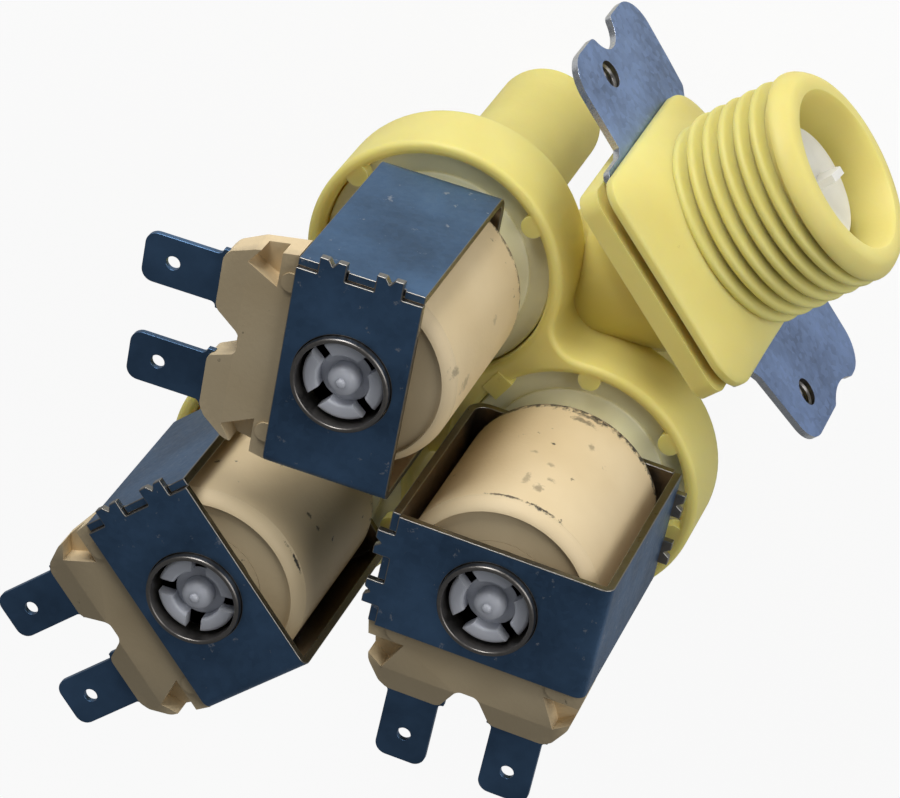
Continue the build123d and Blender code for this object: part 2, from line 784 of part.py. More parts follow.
def plunger():
    """Steel plunger with flow grooves, a spring pocket on top and a seat for the rubber tip."""
    top = plunger_low + plunger_length
    slug = upright(plunger_r, plunger_low, top)
    slug -= upright(spring_pocket_r, top - spring_pocket_depth, top + 1)
    slug -= upright(tip_r, plunger_low - 1, plunger_low + tip_rise)
    for side in (1, -1):
        slug -= upright(plunger_groove_r, plunger_low - 1, top + 1, side * plunger_r, 0)
    return slug


def plunger_tip():
    """Rubber insert that shuts the pilot hole."""
    return upright(tip_r, tip_low, plunger_low + tip_rise)


def plunger_spring():
    """Return spring from the plunger's pocket to the guide tube's closed end."""
    low = plunger_low + plunger_length - spring_pocket_depth + spring_wire_r
    high = guide_bore_end - spring_wire_r
    pitch = (high - low) / spring_turns
    helix = Helix(pitch, high - low, spring_coil_r, center=(0, 0, low))
    start = helix @ 0
    section = Plane(origin=start, z_dir=helix % 0) * RegularPolygon(spring_wire_r, 6)
    return sweep(section, path=helix, is_frenet=True)


def diaphragm():
    """Rubber diaphragm: clamped bead, rolled convolution and the pad on the seat."""
    low = diaphragm_low
    top = diaphragm_top
    bead_low = shoulder_z + diaphragm_gap
    bead_top = guide_flange_low - diaphragm_gap
    inner = convolution_r - convolution_half_w
    outer = convolution_r + convolution_half_w
    rise = convolution_rise
    return turned([
        (core_neck_r + core_neck_gap, low), (inner, low), (convolution_r, low + rise), (outer, low + 0.3),
        (bead_inner_r, bead_low), (diaphragm_r, bead_low), (diaphragm_r, bead_top),
        (bead_inner_r, bead_top), (outer, top + 0.3), (convolution_r, top + rise), (inner, top),
        (core_neck_r + core_neck_gap, top)])


def diaphragm_core():
    """Rigid core through the diaphragm: nipple and flange above, guide plug below, pilot hole."""
    plug_top = diaphragm_low - diaphragm_gap
    return turned([
        (pilot_r, plug_top - core_plug_length), (core_plug_r - 0.6, plug_top - core_plug_length),
        (core_plug_r, plug_top - core_plug_length + 0.6), (core_plug_r, plug_top), (core_neck_r, plug_top),
        (core_neck_r, core_flange_low), (core_flange_r, core_flange_low),
        (core_flange_r, core_flange_low + core_flange_t), (core_nipple_r, core_flange_low + core_flange_t),
        (core_nipple_r - 0.8, core_top), (pilot_r, core_top)])


def build():
    """Make every sub-part once and set a copy of each valve's pieces at its place."""
    pieces = {
        "valve_body": valve_body(),
        "mounting_bracket": mounting_bracket(),
        "inlet_strainer": inlet_strainer(),
        "flow_regulator": flow_regulator(),
        "flow_washer": flow_washer(),
    }
    valve_pieces = {
        "coil_overmould": coil_overmould(),
        "coil_bobbin": bobbin(),
        "coil_winding": winding(),
        "terminal_1": terminal(1),
        "terminal_2": terminal(-1),
        "yoke_front": front_yoke(),
        "yoke_back": back_yoke(),
        "flux_sleeve_front": front_sleeve(),
        "flux_sleeve_back": back_sleeve(),
        "guide_tube": guide_tube(),
        "plunger": plunger(),
        "plunger_tip": plunger_tip(),
        "plunger_spring": plunger_spring(),
        "diaphragm": diaphragm(),
        "diaphragm_core": diaphragm_core(),
    }
    for valve, (x, y, turn) in valve_places.items():
        for name, shape in valve_pieces.items():
            pieces[f"{valve}_{name}"] = Pos(x, y, 0) * Rot(0, 0, turn) * shape
    return pieces


for node, shape in build().items():
    export_step(shape, f"parts/{node}.step")
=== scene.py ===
# Looks for the triple inlet valve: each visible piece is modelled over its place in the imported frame.
#
# Every shape is drawn in millimetres and scaled to metres when its piece is finished. A piece of a
# solenoid is drawn once in the valve's own frame, x towards the terminals and z up the coil, and a
# copy is set at each of the three valves.

import math

import bmesh
import bpy
from mathutils import Matrix, Vector


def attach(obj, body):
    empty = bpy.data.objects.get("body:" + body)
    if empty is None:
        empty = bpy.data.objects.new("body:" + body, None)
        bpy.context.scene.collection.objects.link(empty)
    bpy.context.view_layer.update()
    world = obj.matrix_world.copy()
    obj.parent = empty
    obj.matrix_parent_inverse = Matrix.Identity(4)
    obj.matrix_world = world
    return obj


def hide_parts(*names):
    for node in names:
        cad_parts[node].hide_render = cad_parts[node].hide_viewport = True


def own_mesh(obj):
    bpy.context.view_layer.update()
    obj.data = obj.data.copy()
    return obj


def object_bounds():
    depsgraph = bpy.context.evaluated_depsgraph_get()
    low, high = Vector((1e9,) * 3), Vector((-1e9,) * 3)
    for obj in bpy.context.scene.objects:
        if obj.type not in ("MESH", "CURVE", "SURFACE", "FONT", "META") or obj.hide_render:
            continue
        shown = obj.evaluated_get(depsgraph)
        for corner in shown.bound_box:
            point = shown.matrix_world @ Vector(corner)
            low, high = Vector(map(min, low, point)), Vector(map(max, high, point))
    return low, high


bl_info = {
    "name": "Triple Inlet Valve",
    "version": (1, 0, 0),
    "blender": (4, 5, 0),
    "location": "3D View > Sidebar > Inlet Valve",
    "description": "Models and finishes a washing machine inlet valve with three solenoids",
    "category": "Add Mesh",
}

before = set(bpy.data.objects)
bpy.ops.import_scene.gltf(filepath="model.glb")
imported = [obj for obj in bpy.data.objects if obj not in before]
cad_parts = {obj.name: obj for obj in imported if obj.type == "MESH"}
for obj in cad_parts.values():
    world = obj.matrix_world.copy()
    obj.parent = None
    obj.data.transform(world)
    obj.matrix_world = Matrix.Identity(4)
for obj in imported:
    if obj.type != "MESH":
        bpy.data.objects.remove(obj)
CAD_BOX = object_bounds()
BODY = "valve"
MM = 0.001

# Place of each valve in millimetres, and the way its terminals point in degrees
VALVES = {
    "left": (-24.7, 15.7, 135.8),
    "right": (-24.7, -15.7, -135.8),
    "middle": (-57.7, 0.0, 180.0),
}

# Heights up a solenoid in millimetres: the outer faces of the yoke's two plates, the two ends of the
# coil case between them, and the top of the case's terminal block
PLATE_FACE_Z = 49.7
BACK_FACE_Z = 19.25
COIL_FRONT_Z = PLATE_FACE_Z - 2.84
COIL_BACK_Z = BACK_FACE_Z + 1.85
BLOCK_TOP_Z = PLATE_FACE_Z - 1.0

# The camera fitted to the photograph: its turn as an axis times an angle, the shift that follows it in
# millimetres, and its focal length in pixels of a frame of that width
CAMERA_TURN = (0.36513005, -0.44253516, 0.49535239)
CAMERA_SHIFT = (31.1756114, 19.7699283, -468.310447)
FOCAL_LENGTH = 3862.8
FRAME_WIDTH = 900

# Edges that turn more than this are shaded sharp
SHARP_TURN = math.radians(35)

# Dark marks on the coil cases in millimetres: centre, reach and strength. Most are dirt; the two widest
# lay a dark ragged band round the back ends of the side cases.
COIL_DARK_MARKS = (
    ((-17.4, -5.9, 44.85), (3.4, 2.6, 0.3), 0.9),
    ((-14.6, -8.9, 44.9), (1.7, 2.6, 0.42), 1.0),
    ((-15.4, -7.6, 41.2), (0.9, 0.9, 1.0), 0.5),
    ((-16.3, -6.7, 30.9), (0.45, 0.45, 0.3), 1.0),
    ((-15.5, -7.5, 35.5), (0.6, 0.6, 0.6), 0.4),
    ((-15.3, -7.9, 23.6), (2.3, 2.3, 0.7), 0.65),
    # A dark ragged band round the back end of the right valve's case
    ((-24.7, -15.7, 21.4), (34.0, 34.0, 1.25), 1.0),
    ((-15.0, -8.4, 22.3), (4.5, 3.2, 0.6), 0.8),
    # A dark ragged band round the back end of the left valve's case
    ((-24.7, 15.7, 21.4), (30.0, 30.0, 0.85), 0.8),
    ((-14.9, -8.3, 38.6), (1.3, 0.5, 0.5), 0.45),
    ((-16.6, -6.4, 39.9), (0.6, 0.6, 1.5), 0.4),
    ((-13.9, -9.9, 27.9), (0.5, 0.5, 1.0), 0.45),
    ((-17.4, -5.8, 33.6), (0.7, 0.6, 0.5), 0.4),
    ((-15.6, 7.4, 42.0), (1.4, 1.1, 2.2), 0.4),
    ((-13.8, 10.0, 45.5), (1.0, 0.9, 1.6), 0.45),
    ((-13.9, 9.9, 31.2), (0.6, 0.6, 1.0), 0.3),
    ((-45.8, -2.6, 45.4), (0.9, 3.0, 0.28), 1.0),
    ((-45.4, 0.0, 38.2), (0.6, 0.6, 0.4), 0.8),
    ((-45.6, -2.0, 37.9), (0.5, 0.5, 0.4), 0.7),
)

# Grime and painted shade over the terminal blocks, a soft grey veil: centre, reach and strength
BLOCK_GRIME_AND_SHADE = (
    ((-33.7, 24.4, 49.0), (15.0, 15.0, 2.2), 0.3),
    ((-33.7, -24.4, 49.0), (15.0, 15.0, 2.2), 0.3),
    ((-70.2, 0.0, 49.0), (15.0, 15.0, 2.2), 0.36),
)


# Sizes and colours

class MouldingSizes(bpy.types.PropertyGroup):
    """Sizes of the moulded body's visible details."""
    edge_round: bpy.props.FloatProperty(
        name="Edge Round", description="Rounding along the moulding's edges",
        default=0.00035, min=0, unit="LENGTH")
    thread_crest_r: bpy.props.FloatProperty(
        name="Thread Crest Radius", description="Radius over the hose thread's crests",
        default=0.0135, unit="LENGTH")
    thread_root_r: bpy.props.FloatProperty(
        name="Thread Root Radius", description="Radius at the bottom of the hose thread",
        default=0.0121, unit="LENGTH")
    thread_pitch: bpy.props.FloatProperty(
        name="Thread Pitch", description="Distance from one turn of the thread to the next",
        default=0.002209, unit="LENGTH")
    mouth_bore_r: bpy.props.FloatProperty(
        name="Mouth Bore Radius", description="Inside radius of the inlet's mouth",
        default=0.0098, unit="LENGTH")


class MetalSizes(bpy.types.PropertyGroup):
    """Sizes of the sheet metal pieces."""
    sheet: bpy.props.FloatProperty(
        name="Yoke Sheet", description="Thickness of the yoke's steel sheet",
        default=0.001, unit="LENGTH")
    burr: bpy.props.FloatProperty(
        name="Edge Break", description="Rounding along the sheared edges of the sheet",
        default=0.00012, unit="LENGTH")
    blade_width: bpy.props.FloatProperty(
        name="Blade Width", description="Width of a terminal blade", default=0.0063, unit="LENGTH")
    blade_thickness: bpy.props.FloatProperty(
        name="Blade Thickness", description="Thickness of a terminal blade",
        default=0.0008, unit="LENGTH")
    bracket_sheet: bpy.props.FloatProperty(
        name="Bracket Sheet", description="Thickness of the mounting bracket",
        default=0.0009, unit="LENGTH")


class CoilSizes(bpy.types.PropertyGroup):
    """Sizes of the coil's moulded case."""
    drum_r: bpy.props.FloatProperty(
        name="Drum Radius", description="Outside radius of the coil's case",
        default=0.0123, unit="LENGTH")
    rim_width: bpy.props.FloatProperty(
        name="Rim Width", description="Width of the raised rim round the case's front face",
        default=0.0014, unit="LENGTH")
    recess: bpy.props.FloatProperty(
        name="Face Recess", description="Depth of the front face inside its rim",
        default=0.0006, unit="LENGTH")
    edge_round: bpy.props.FloatProperty(
        name="Case Edge Round", description="Rounding along the case's edges",
        default=0.0003, unit="LENGTH")


class Finishes(bpy.types.PropertyGroup):
    """Colours of the valve's materials."""
    body: bpy.props.FloatVectorProperty(
        name="Moulding", description="Pale yellow plastic of the body", subtype="COLOR",
        size=3, default=(0.77, 0.675, 0.225), min=0, max=1)
    coil: bpy.props.FloatVectorProperty(
        name="Coil Plastic", description="Beige plastic of the coil cases", subtype="COLOR",
        size=3, default=(0.74, 0.595, 0.37), min=0, max=1)
    yoke: bpy.props.FloatVectorProperty(
        name="Yoke Steel", description="Blue passivated zinc on the yokes", subtype="COLOR",
        size=3, default=(0.078, 0.15, 0.265), min=0, max=1)
    bracket: bpy.props.FloatVectorProperty(
        name="Bracket Zinc", description="Bright blue zinc on the bracket", subtype="COLOR",
        size=3, default=(0.20, 0.29, 0.51), min=0, max=1)
    # Milky cream plastic, lightened and tinted yellow as painted light for the light that comes through
    # the yellow cups
    bonnet: bpy.props.FloatVectorProperty(
        name="Guide Tube", description="Milky plastic of the guide tubes", subtype="COLOR",
        size=3, default=(0.93, 0.87, 0.58), min=0, max=1)
    strainer: bpy.props.FloatVectorProperty(
        name="Strainer", description="White plastic of the strainer", subtype="COLOR",
        size=3, default=(0.82, 0.81, 0.77), min=0, max=1)
    crown: bpy.props.FloatVectorProperty(
        name="Guide End", description="Grey end of the guide tubes inside the sleeves", subtype="COLOR",
        size=3, default=(0.64, 0.66, 0.72), min=0, max=1)
    floor: bpy.props.FloatVectorProperty(
        name="Floor", description="Pale floor", subtype="COLOR",
        size=3, default=(0.86, 0.86, 0.86), min=0, max=1)


# Mesh helpers, all in millimetres

def lathe(profile, steps=96):
    """Spin a closed loop of (radius, height) points about Z, leaving out an edge that lies on it."""
    bm = bmesh.new()
    loop = [bm.verts.new((r, 0, z)) for r, z in profile]
    for a, b in zip(loop, loop[1:] + loop[:1]):
        if abs(a.co.x) > 1e-6 or abs(b.co.x) > 1e-6:
            bm.edges.new((a, b))
    bmesh.ops.spin(bm, geom=bm.verts[:] + bm.edges[:], cent=(0, 0, 0), axis=(0, 0, 1),
                   angle=math.tau, steps=steps, use_merge=True)
    bmesh.ops.remove_doubles(bm, verts=bm.verts, dist=1e-4)
    bmesh.ops.recalc_face_normals(bm, faces=bm.faces)
    return bm


def plain_ring(inner, outer, low, high, steps=96):
    """A square-edged ring about Z, or a disc where its inside radius is nought."""
    return lathe([(inner, low), (outer, low), (outer, high), (inner, high)], steps)


def wound(section, turns, rise, steps_per_turn):
    """Wind a closed (radius, height) section round Z as a screw, with its two ends closed."""
    steps = int(turns * steps_per_turn)
    bm = bmesh.new()
    loop = [bm.verts.new((r, 0, z)) for r, z in section]
    for a, b in zip(loop, loop[1:] + loop[:1]):
        bm.edges.new((a, b))
    bmesh.ops.spin(bm, geom=bm.verts[:] + bm.edges[:], cent=(0, 0, 0), axis=(0, 0, 1),
                   dvec=(0, 0, rise / steps), angle=math.tau * turns, steps=steps)
    bmesh.ops.holes_fill(bm, edges=[e for e in bm.edges if e.is_boundary], sides=0)
    bmesh.ops.recalc_face_normals(bm, faces=bm.faces)
    return bm


def prism(outline, low, high):
    """Extrude a flat outline of (x, y) points between two heights."""
    bm = bmesh.new()
    face = bm.faces.new([bm.verts.new((x, y, low)) for x, y in outline])
    raised = bmesh.ops.extrude_face_region(bm, geom=[face])
    tops = [v for v in raised["geom"] if isinstance(v, bmesh.types.BMVert)]
    bmesh.ops.translate(bm, verts=tops, vec=(0, 0, high - low))
    bmesh.ops.recalc_face_normals(bm, faces=bm.faces)
    return bm


def cylinder(radius, low, high, x=0.0, y=0.0, segments=64):
    """An upright cylinder between two heights."""
    bm = bmesh.new()
    bmesh.ops.create_cone(bm, cap_ends=True, segments=segments, radius1=radius, radius2=radius,
                          depth=high - low, matrix=Matrix.Translation((x, y, (low + high) / 2)))
    return bm


def block(x, y, z):
    """A box from three (low, high) pairs."""
    bm = bmesh.new()
    spans = (x, y, z)
    middle = [(low + high) / 2 for low, high in spans]
    size = Matrix.Diagonal([high - low for low, high in spans] + [1])
    bmesh.ops.create_cube(bm, size=1, matrix=Matrix.Translation(middle) @ size)
    return bm


def arc(x, y, radius, start, end, segments=12):
    """Points along an arc between two angles in degrees."""
    angles = [math.radians(start + (end - start) * step / segments) for step in range(segments + 1)]
    return [(x + radius * math.cos(angle), y + radius * math.sin(angle)) for angle in angles]


def rounded(corners, segments=6):
    """A closed outline whose (x, y, radius) corners are turned into arcs."""
    points = []
    for index, (x, y, radius) in enumerate(corners):
        if not radius:
            points.append((x, y))
            continue
        here = Vector((x, y))
        before = (Vector(corners[index - 1][:2]) - here).normalized()
        after = (Vector(corners[(index + 1) % len(corners)][:2]) - here).normalized()
        half = before.angle(after) / 2
        centre = here + (before + after).normalized() * radius / math.sin(half)
        first = here + before * radius / math.tan(half) - centre
        last = here + after * radius / math.tan(half) - centre
        start, end = math.atan2(first.y, first.x), math.atan2(last.y, last.x)
        sweep = (end - start + math.pi) % math.tau - math.pi
        points += arc(centre.x, centre.y, radius, math.degrees(start), math.degrees(start + sweep),
                      segments)
    return points


def notched_edge(edge, x, y, radius, mouth):
    """Points down an upright edge with a round notch in it, the notch's mouth rounded over."""
    away = x - edge + mouth
    rise = math.sqrt((radius + mouth) ** 2 - away ** 2)
    tilt = math.degrees(math.atan2(rise, away))
    points = arc(edge - mouth, y + rise, mouth, 0, -tilt, 6)
    points += arc(x, y, radius, 180 - tilt, 180 + tilt, 18)[1:-1]
    return points + arc(edge - mouth, y - rise, mouth, tilt, 0, 6)


def bevel_rings(bm, radius, height, offset, segments=5):
    """Round the ring of edges that runs round Z at one radius and height."""
    def on_ring(vert):
        return abs(vert.co.xy.length - radius) < 0.01 and abs(vert.co.z - height) < 0.01
    ring = [e for e in bm.edges if on_ring(e.verts[0]) and on_ring(e.verts[1])]
    bmesh.ops.bevel(bm, geom=ring, offset=offset, offset_type="OFFSET", segments=segments,
                    profile=0.5, affect="EDGES", material=-1)


def stand_up(bm):
    """Turn a shape drawn flat so that its outline's y points up."""
    bmesh.ops.rotate(bm, verts=bm.verts, cent=(0, 0, 0), matrix=Matrix.Rotation(math.pi / 2, 3, "X"))


def give_material(bm, index):
    """Put one material of the piece on every face of a shape."""
    for face in bm.faces:
        face.material_index = index


def add_to(bm, other, place=None):
    """Put a second shape's faces into the first one and free it."""
    mesh = bpy.data.meshes.new("part")
    other.to_mesh(mesh)
    other.free()
    if place is not None:
        mesh.transform(place)
    bm.from_mesh(mesh)
    bpy.data.meshes.remove(mesh)
    return bm


def combine(bm, other, operation):
    """Cut or join one closed shape with another and return the result."""
    pair = []
    for shape in (bm, other):
        mesh = bpy.data.meshes.new("shape")
        shape.to_mesh(mesh)
        shape.free()
        thing = bpy.data.objects.new("shape", mesh)
        bpy.context.scene.collection.objects.link(thing)
        pair.append(thing)
    modifier = pair[0].modifiers.new("Combine", "BOOLEAN")
    modifier.operation = operation
    modifier.solver = "EXACT"
    modifier.object = pair[1]
    graph = bpy.context.evaluated_depsgraph_get()
    result = bmesh.new()
    result.from_object(pair[0], graph)
    for thing in pair:
        mesh = thing.data
        bpy.data.objects.remove(thing)
        bpy.data.meshes.remove(mesh)
    bmesh.ops.remove_doubles(result, verts=result.verts, dist=1e-4)
    return result


def mark_sharp(bm):
    """Shade everything smooth, apart from sharp edges."""
    for face in bm.faces:
        face.smooth = True
    for edge in bm.edges:
        edge.smooth = edge.calc_face_angle(math.pi) < SHARP_TURN


def finished(name, bm, materials, nodes, place=None, body=BODY, edge=0.0, segments=2):
    """Make the object of a finished shape: scaled to metres, placed in its mesh, dressed and riding."""
    mark_sharp(bm)
    mesh = bpy.data.meshes.new(name)
    bm.to_mesh(mesh)
    bm.free()
    return dressed(name, mesh, materials, nodes, place, body, edge, segments)


def dressed(name, mesh, materials, nodes, place=None, body=BODY, edge=0.0, segments=2):
    """Turn a mesh in millimetres into a piece of the valve."""
    mesh.name = name
    mesh.transform(Matrix.Scale(MM, 4) @ (place or Matrix.Identity(4)))
    for material in materials:
        mesh.materials.append(material)
    piece = bpy.data.objects.new(name, mesh)
    bpy.context.scene.collection.objects.link(piece)
    if edge:
        bevel = piece.modifiers.new("Edge round", "BEVEL")
        bevel.width = edge
        bevel.segments = segments
        bevel.limit_method = "ANGLE"
        bevel.angle_limit = math.radians(38)
        bevel.miter_outer = "MITER_ARC"
        bevel.material = -1
        bevel.harden_normals = True
    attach(piece, body)
    if nodes:
        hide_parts(*nodes)
    return piece


def place_of(valve):
    """The matrix from a valve's own frame to the whole part's, in millimetres."""
    x, y, azimuth = VALVES[valve]
    return Matrix.Translation((x, y, 0)) @ Matrix.Rotation(math.radians(azimuth), 4, "Z")


def at_each_valve(name, bm, materials, node, edge=0.0, segments=2):
    """Set a finished copy of one shape at each of the three valves."""
    mark_sharp(bm)
    master = bpy.data.meshes.new(name)
    bm.to_mesh(master)
    bm.free()
    pieces = [dressed(f"{valve}_{name}", master.copy(), materials, [f"{valve}_{node}"],
                      place_of(valve), BODY, edge, segments) for valve in VALVES]
    bpy.data.meshes.remove(master)
    return pieces


# Lays a shape that was turned about Z along the inlet's axis
ALONG_X = Matrix.Rotation(math.radians(90), 4, "Y")


# Material helpers

def group_tree(name, inputs, outputs):
    """A new shader node group with its sockets; returns the tree and its two end nodes."""
    tree = bpy.data.node_groups.new(name, "ShaderNodeTree")
    for socket, default in inputs:
        kind = "NodeSocketVector" if isinstance(default, tuple) else "NodeSocketFloat"
        made = tree.interface.new_socket(socket, in_out="INPUT", socket_type=kind)
        made.default_value = default
    for socket, kind in outputs:
        tree.interface.new_socket(socket, in_out="OUTPUT", socket_type=kind)
    return tree, tree.nodes.new("NodeGroupInput"), tree.nodes.new("NodeGroupOutput")


def feed(tree, value, socket):
    """Link another node's output to a socket, or set a plain value on it."""
    if isinstance(value, bpy.types.NodeSocket):
        tree.links.new(value, socket)
    else:
        socket.default_value = value


def noise(tree, vector, scale, detail, roughness=0.55):
    """A noise texture's value, its scale counted in cells to the metre."""
    node = tree.nodes.new("ShaderNodeTexNoise")
    values = {"Vector": vector, "Scale": scale, "Detail": detail, "Roughness": roughness}
    for socket, value in values.items():
        feed(tree, value, node.inputs[socket])
    return node.outputs["Fac"]


def remap(tree, value, low, high, out_low=0.0, out_high=1.0):
    """Map a value's range to another one, held inside its ends."""
    node = tree.nodes.new("ShaderNodeMapRange")
    ends = (("From Min", low), ("From Max", high), ("To Min", out_low), ("To Max", out_high))
    for socket, number in ends + (("Value", value),):
        feed(tree, number, node.inputs[socket])
    return node.outputs["Result"]


def maths(tree, operation, a, b):
    """One calculation with two numbers or sockets."""
    node = tree.nodes.new("ShaderNodeMath")
    node.operation = operation
    feed(tree, a, node.inputs[0])
    feed(tree, b, node.inputs[1])
    return node.outputs["Value"]


def vector_maths(tree, operation, a, b=None):
    """One calculation with two vectors, or a single vector's length."""
    node = tree.nodes.new("ShaderNodeVectorMath")
    node.operation = operation
    tree.links.new(a, node.inputs[0])
    if b is None:
        return node.outputs["Value"]
    tree.links.new(b, node.inputs[1])
    return node.outputs["Vector"]


def blend_colour(tree, mask, first, second):
    """Mix from the first colour to the second one by a mask."""
    node = tree.nodes.new("ShaderNodeMix")
    node.data_type = "RGBA"
    for name, kind, value in (("Factor", "VALUE", mask), ("A", "RGBA", first), ("B", "RGBA", second)):
        socket = [s for s in node.inputs if s.name == name and s.type == kind][0]
        feed(tree, value, socket)
    return [s for s in node.outputs if s.type == "RGBA"][0]


def mottle_group():
    """Soft variation of a moulded surface: a tone mask and a fine height."""
    tree, ends, out = group_tree(
        "Moulded Surface", [("Cloud Scale", 60.0), ("Grain Scale", 1400.0)],
        [("Tone", "NodeSocketFloat"), ("Height", "NodeSocketFloat")])
    place = tree.nodes.new("ShaderNodeTexCoord").outputs["Object"]
    clouds = noise(tree, place, ends.outputs["Cloud Scale"], 3.0)
    grain = noise(tree, place, ends.outputs["Grain Scale"], 3.0)
    tree.links.new(remap(tree, clouds, 0.32, 0.68), out.inputs["Tone"])
    waves = maths(tree, "MULTIPLY", clouds, 2.0)
    tree.links.new(maths(tree, "ADD", grain, waves), out.inputs["Height"])
    return tree


def smudge_group():
    """Dirt left by handling: blotches broken up by a finer noise."""
    tree, ends, out = group_tree(
        "Smudges", [("Scale", 120.0), ("Threshold", 0.6), ("Softness", 0.1), ("Seed", 0.0)],
        [("Mask", "NodeSocketFloat")])
    place = tree.nodes.new("ShaderNodeTexCoord").outputs["Object"]
    shifted = vector_maths(tree, "ADD", place, ends.outputs["Seed"])
    blotch = noise(tree, shifted, ends.outputs["Scale"], 5.0, 0.6)
    fine = noise(tree, shifted, maths(tree, "MULTIPLY", ends.outputs["Scale"], 6.0), 4.0, 0.7)
    broken = maths(tree, "ADD", blotch, maths(tree, "MULTIPLY", fine, 0.22))
    centred = maths(tree, "SUBTRACT", broken, 0.11)
    high = maths(tree, "ADD", ends.outputs["Threshold"], ends.outputs["Softness"])
    tree.links.new(remap(tree, centred, ends.outputs["Threshold"], high), out.inputs["Mask"])
    return tree


def stain_and_shade_group():
    """One mark at a place: an ellipsoid round its centre, its edge and its middle broken up."""
    tree, ends, out = group_tree(
        "Stain And Shade", [("Centre", (0.0, 0.0, 0.0)), ("Reach", (0.001, 0.001, 0.001)), ("Strength", 1.0),
                  ("Raggedness", 1.0)],
        [("Mask", "NodeSocketFloat")])
    place = tree.nodes.new("ShaderNodeTexCoord").outputs["Object"]
    offset = vector_maths(tree, "SUBTRACT", place, ends.outputs["Centre"])
    share = vector_maths(tree, "DIVIDE", offset, ends.outputs["Reach"])
    length = vector_maths(tree, "LENGTH", share)
    grain = remap(tree, noise(tree, place, 1300.0, 5.0, 0.75), 0.36, 0.64, 0.1, 1.0)
    ragged = maths(tree, "ADD", length, maths(tree, "MULTIPLY", grain, ends.outputs["Raggedness"]))
    mask = remap(tree, ragged, 0.9, 1.4, 1.0, 0.0)
    tree.links.new(maths(tree, "MULTIPLY", mask, ends.outputs["Strength"]), out.inputs["Mask"])
    return tree


def spangle_group():
    """Crystal patches and fine brushing of plated sheet."""
    tree, ends, out = group_tree(
        "Plated Sheet", [("Patch Scale", 500.0), ("Scratch Scale", 900.0)],
        [("Patch", "NodeSocketFloat"), ("Scratch", "NodeSocketFloat"), ("Cloud", "NodeSocketFloat")])
    place = tree.nodes.new("ShaderNodeTexCoord").outputs["Object"]
    cells = tree.nodes.new("ShaderNodeTexVoronoi")
    tree.links.new(place, cells.inputs["Vector"])
    tree.links.new(ends.outputs["Patch Scale"], cells.inputs["Scale"])
    grey = tree.nodes.new("ShaderNodeSeparateColor")
    tree.links.new(cells.outputs["Color"], grey.inputs["Color"])
    tree.links.new(grey.outputs[0], out.inputs["Patch"])
    tree.links.new(noise(tree, place, ends.outputs["Scratch Scale"], 6.0, 0.75), out.inputs["Scratch"])
    tree.links.new(noise(tree, place, 90.0, 3.0), out.inputs["Cloud"])
    return tree


def shader(name, colour, roughness=0.5, metallic=0.0):
    """A material with its Principled shader; returns the material, its tree and the shader."""
    material = bpy.data.materials.new(name)
    material.use_nodes = True
    tree = material.node_tree
    principled = tree.nodes["Principled BSDF"]
    principled.inputs["Base Color"].default_value = (*colour, 1)
    principled.inputs["Roughness"].default_value = roughness
    principled.inputs["Metallic"].default_value = metallic
    return material, tree, principled


def placed_group(tree, group, **values):
    """Put a node group into a material with its own values."""
    node = tree.nodes.new("ShaderNodeGroup")
    node.node_tree = group
    for socket, value in values.items():
        node.inputs[socket.replace("_", " ")].default_value = value
    return node


def bump(tree, principled, height, strength, distance):
    """Bump the surface by a height, over a distance in metres."""
    node = tree.nodes.new("ShaderNodeBump")
    node.inputs["Strength"].default_value = strength
    node.inputs["Distance"].default_value = distance
    tree.links.new(height, node.inputs["Height"])
    tree.links.new(node.outputs["Normal"], principled.inputs["Normal"])


def shade(colour, factor, tint=(1, 1, 1)):
    """A colour made lighter or darker and tinted, with its alpha."""
    return tuple(min(1.0, c * factor * t) for c, t in zip(colour, tint)) + (1.0,)


def body_plastic(colour, groups):
    """Translucent yellow moulding, softly mottled, with a few brown specks."""
    material, tree, principled = shader("Yellow Moulding", colour, 0.5)
    surface = placed_group(tree, groups["mottle"], Cloud_Scale=45.0, Grain_Scale=900.0)
    specks = placed_group(tree, groups["smudge"], Scale=420.0, Threshold=0.74, Softness=0.05)
    tone = blend_colour(tree, surface.outputs["Tone"], shade(colour, 0.93, (1, 0.97, 0.86)),
                        shade(colour, 1.03))
    marked = blend_colour(tree, maths(tree, "MULTIPLY", specks.outputs["Mask"], 0.35), tone,
                           shade(colour, 0.45, (1, 0.85, 0.6)))
    tree.links.new(marked, principled.inputs["Base Color"])
    tree.links.new(remap(tree, surface.outputs["Tone"], 0, 1, 0.46, 0.6),
                   principled.inputs["Roughness"])
    principled.inputs["Subsurface Weight"].default_value = 0.5
    principled.inputs["Subsurface Radius"].default_value = (1.0, 0.75, 0.25)
    principled.inputs["Subsurface Scale"].default_value = 0.0035
    bump(tree, principled, surface.outputs["Height"], 0.12, 0.0002)
    return material


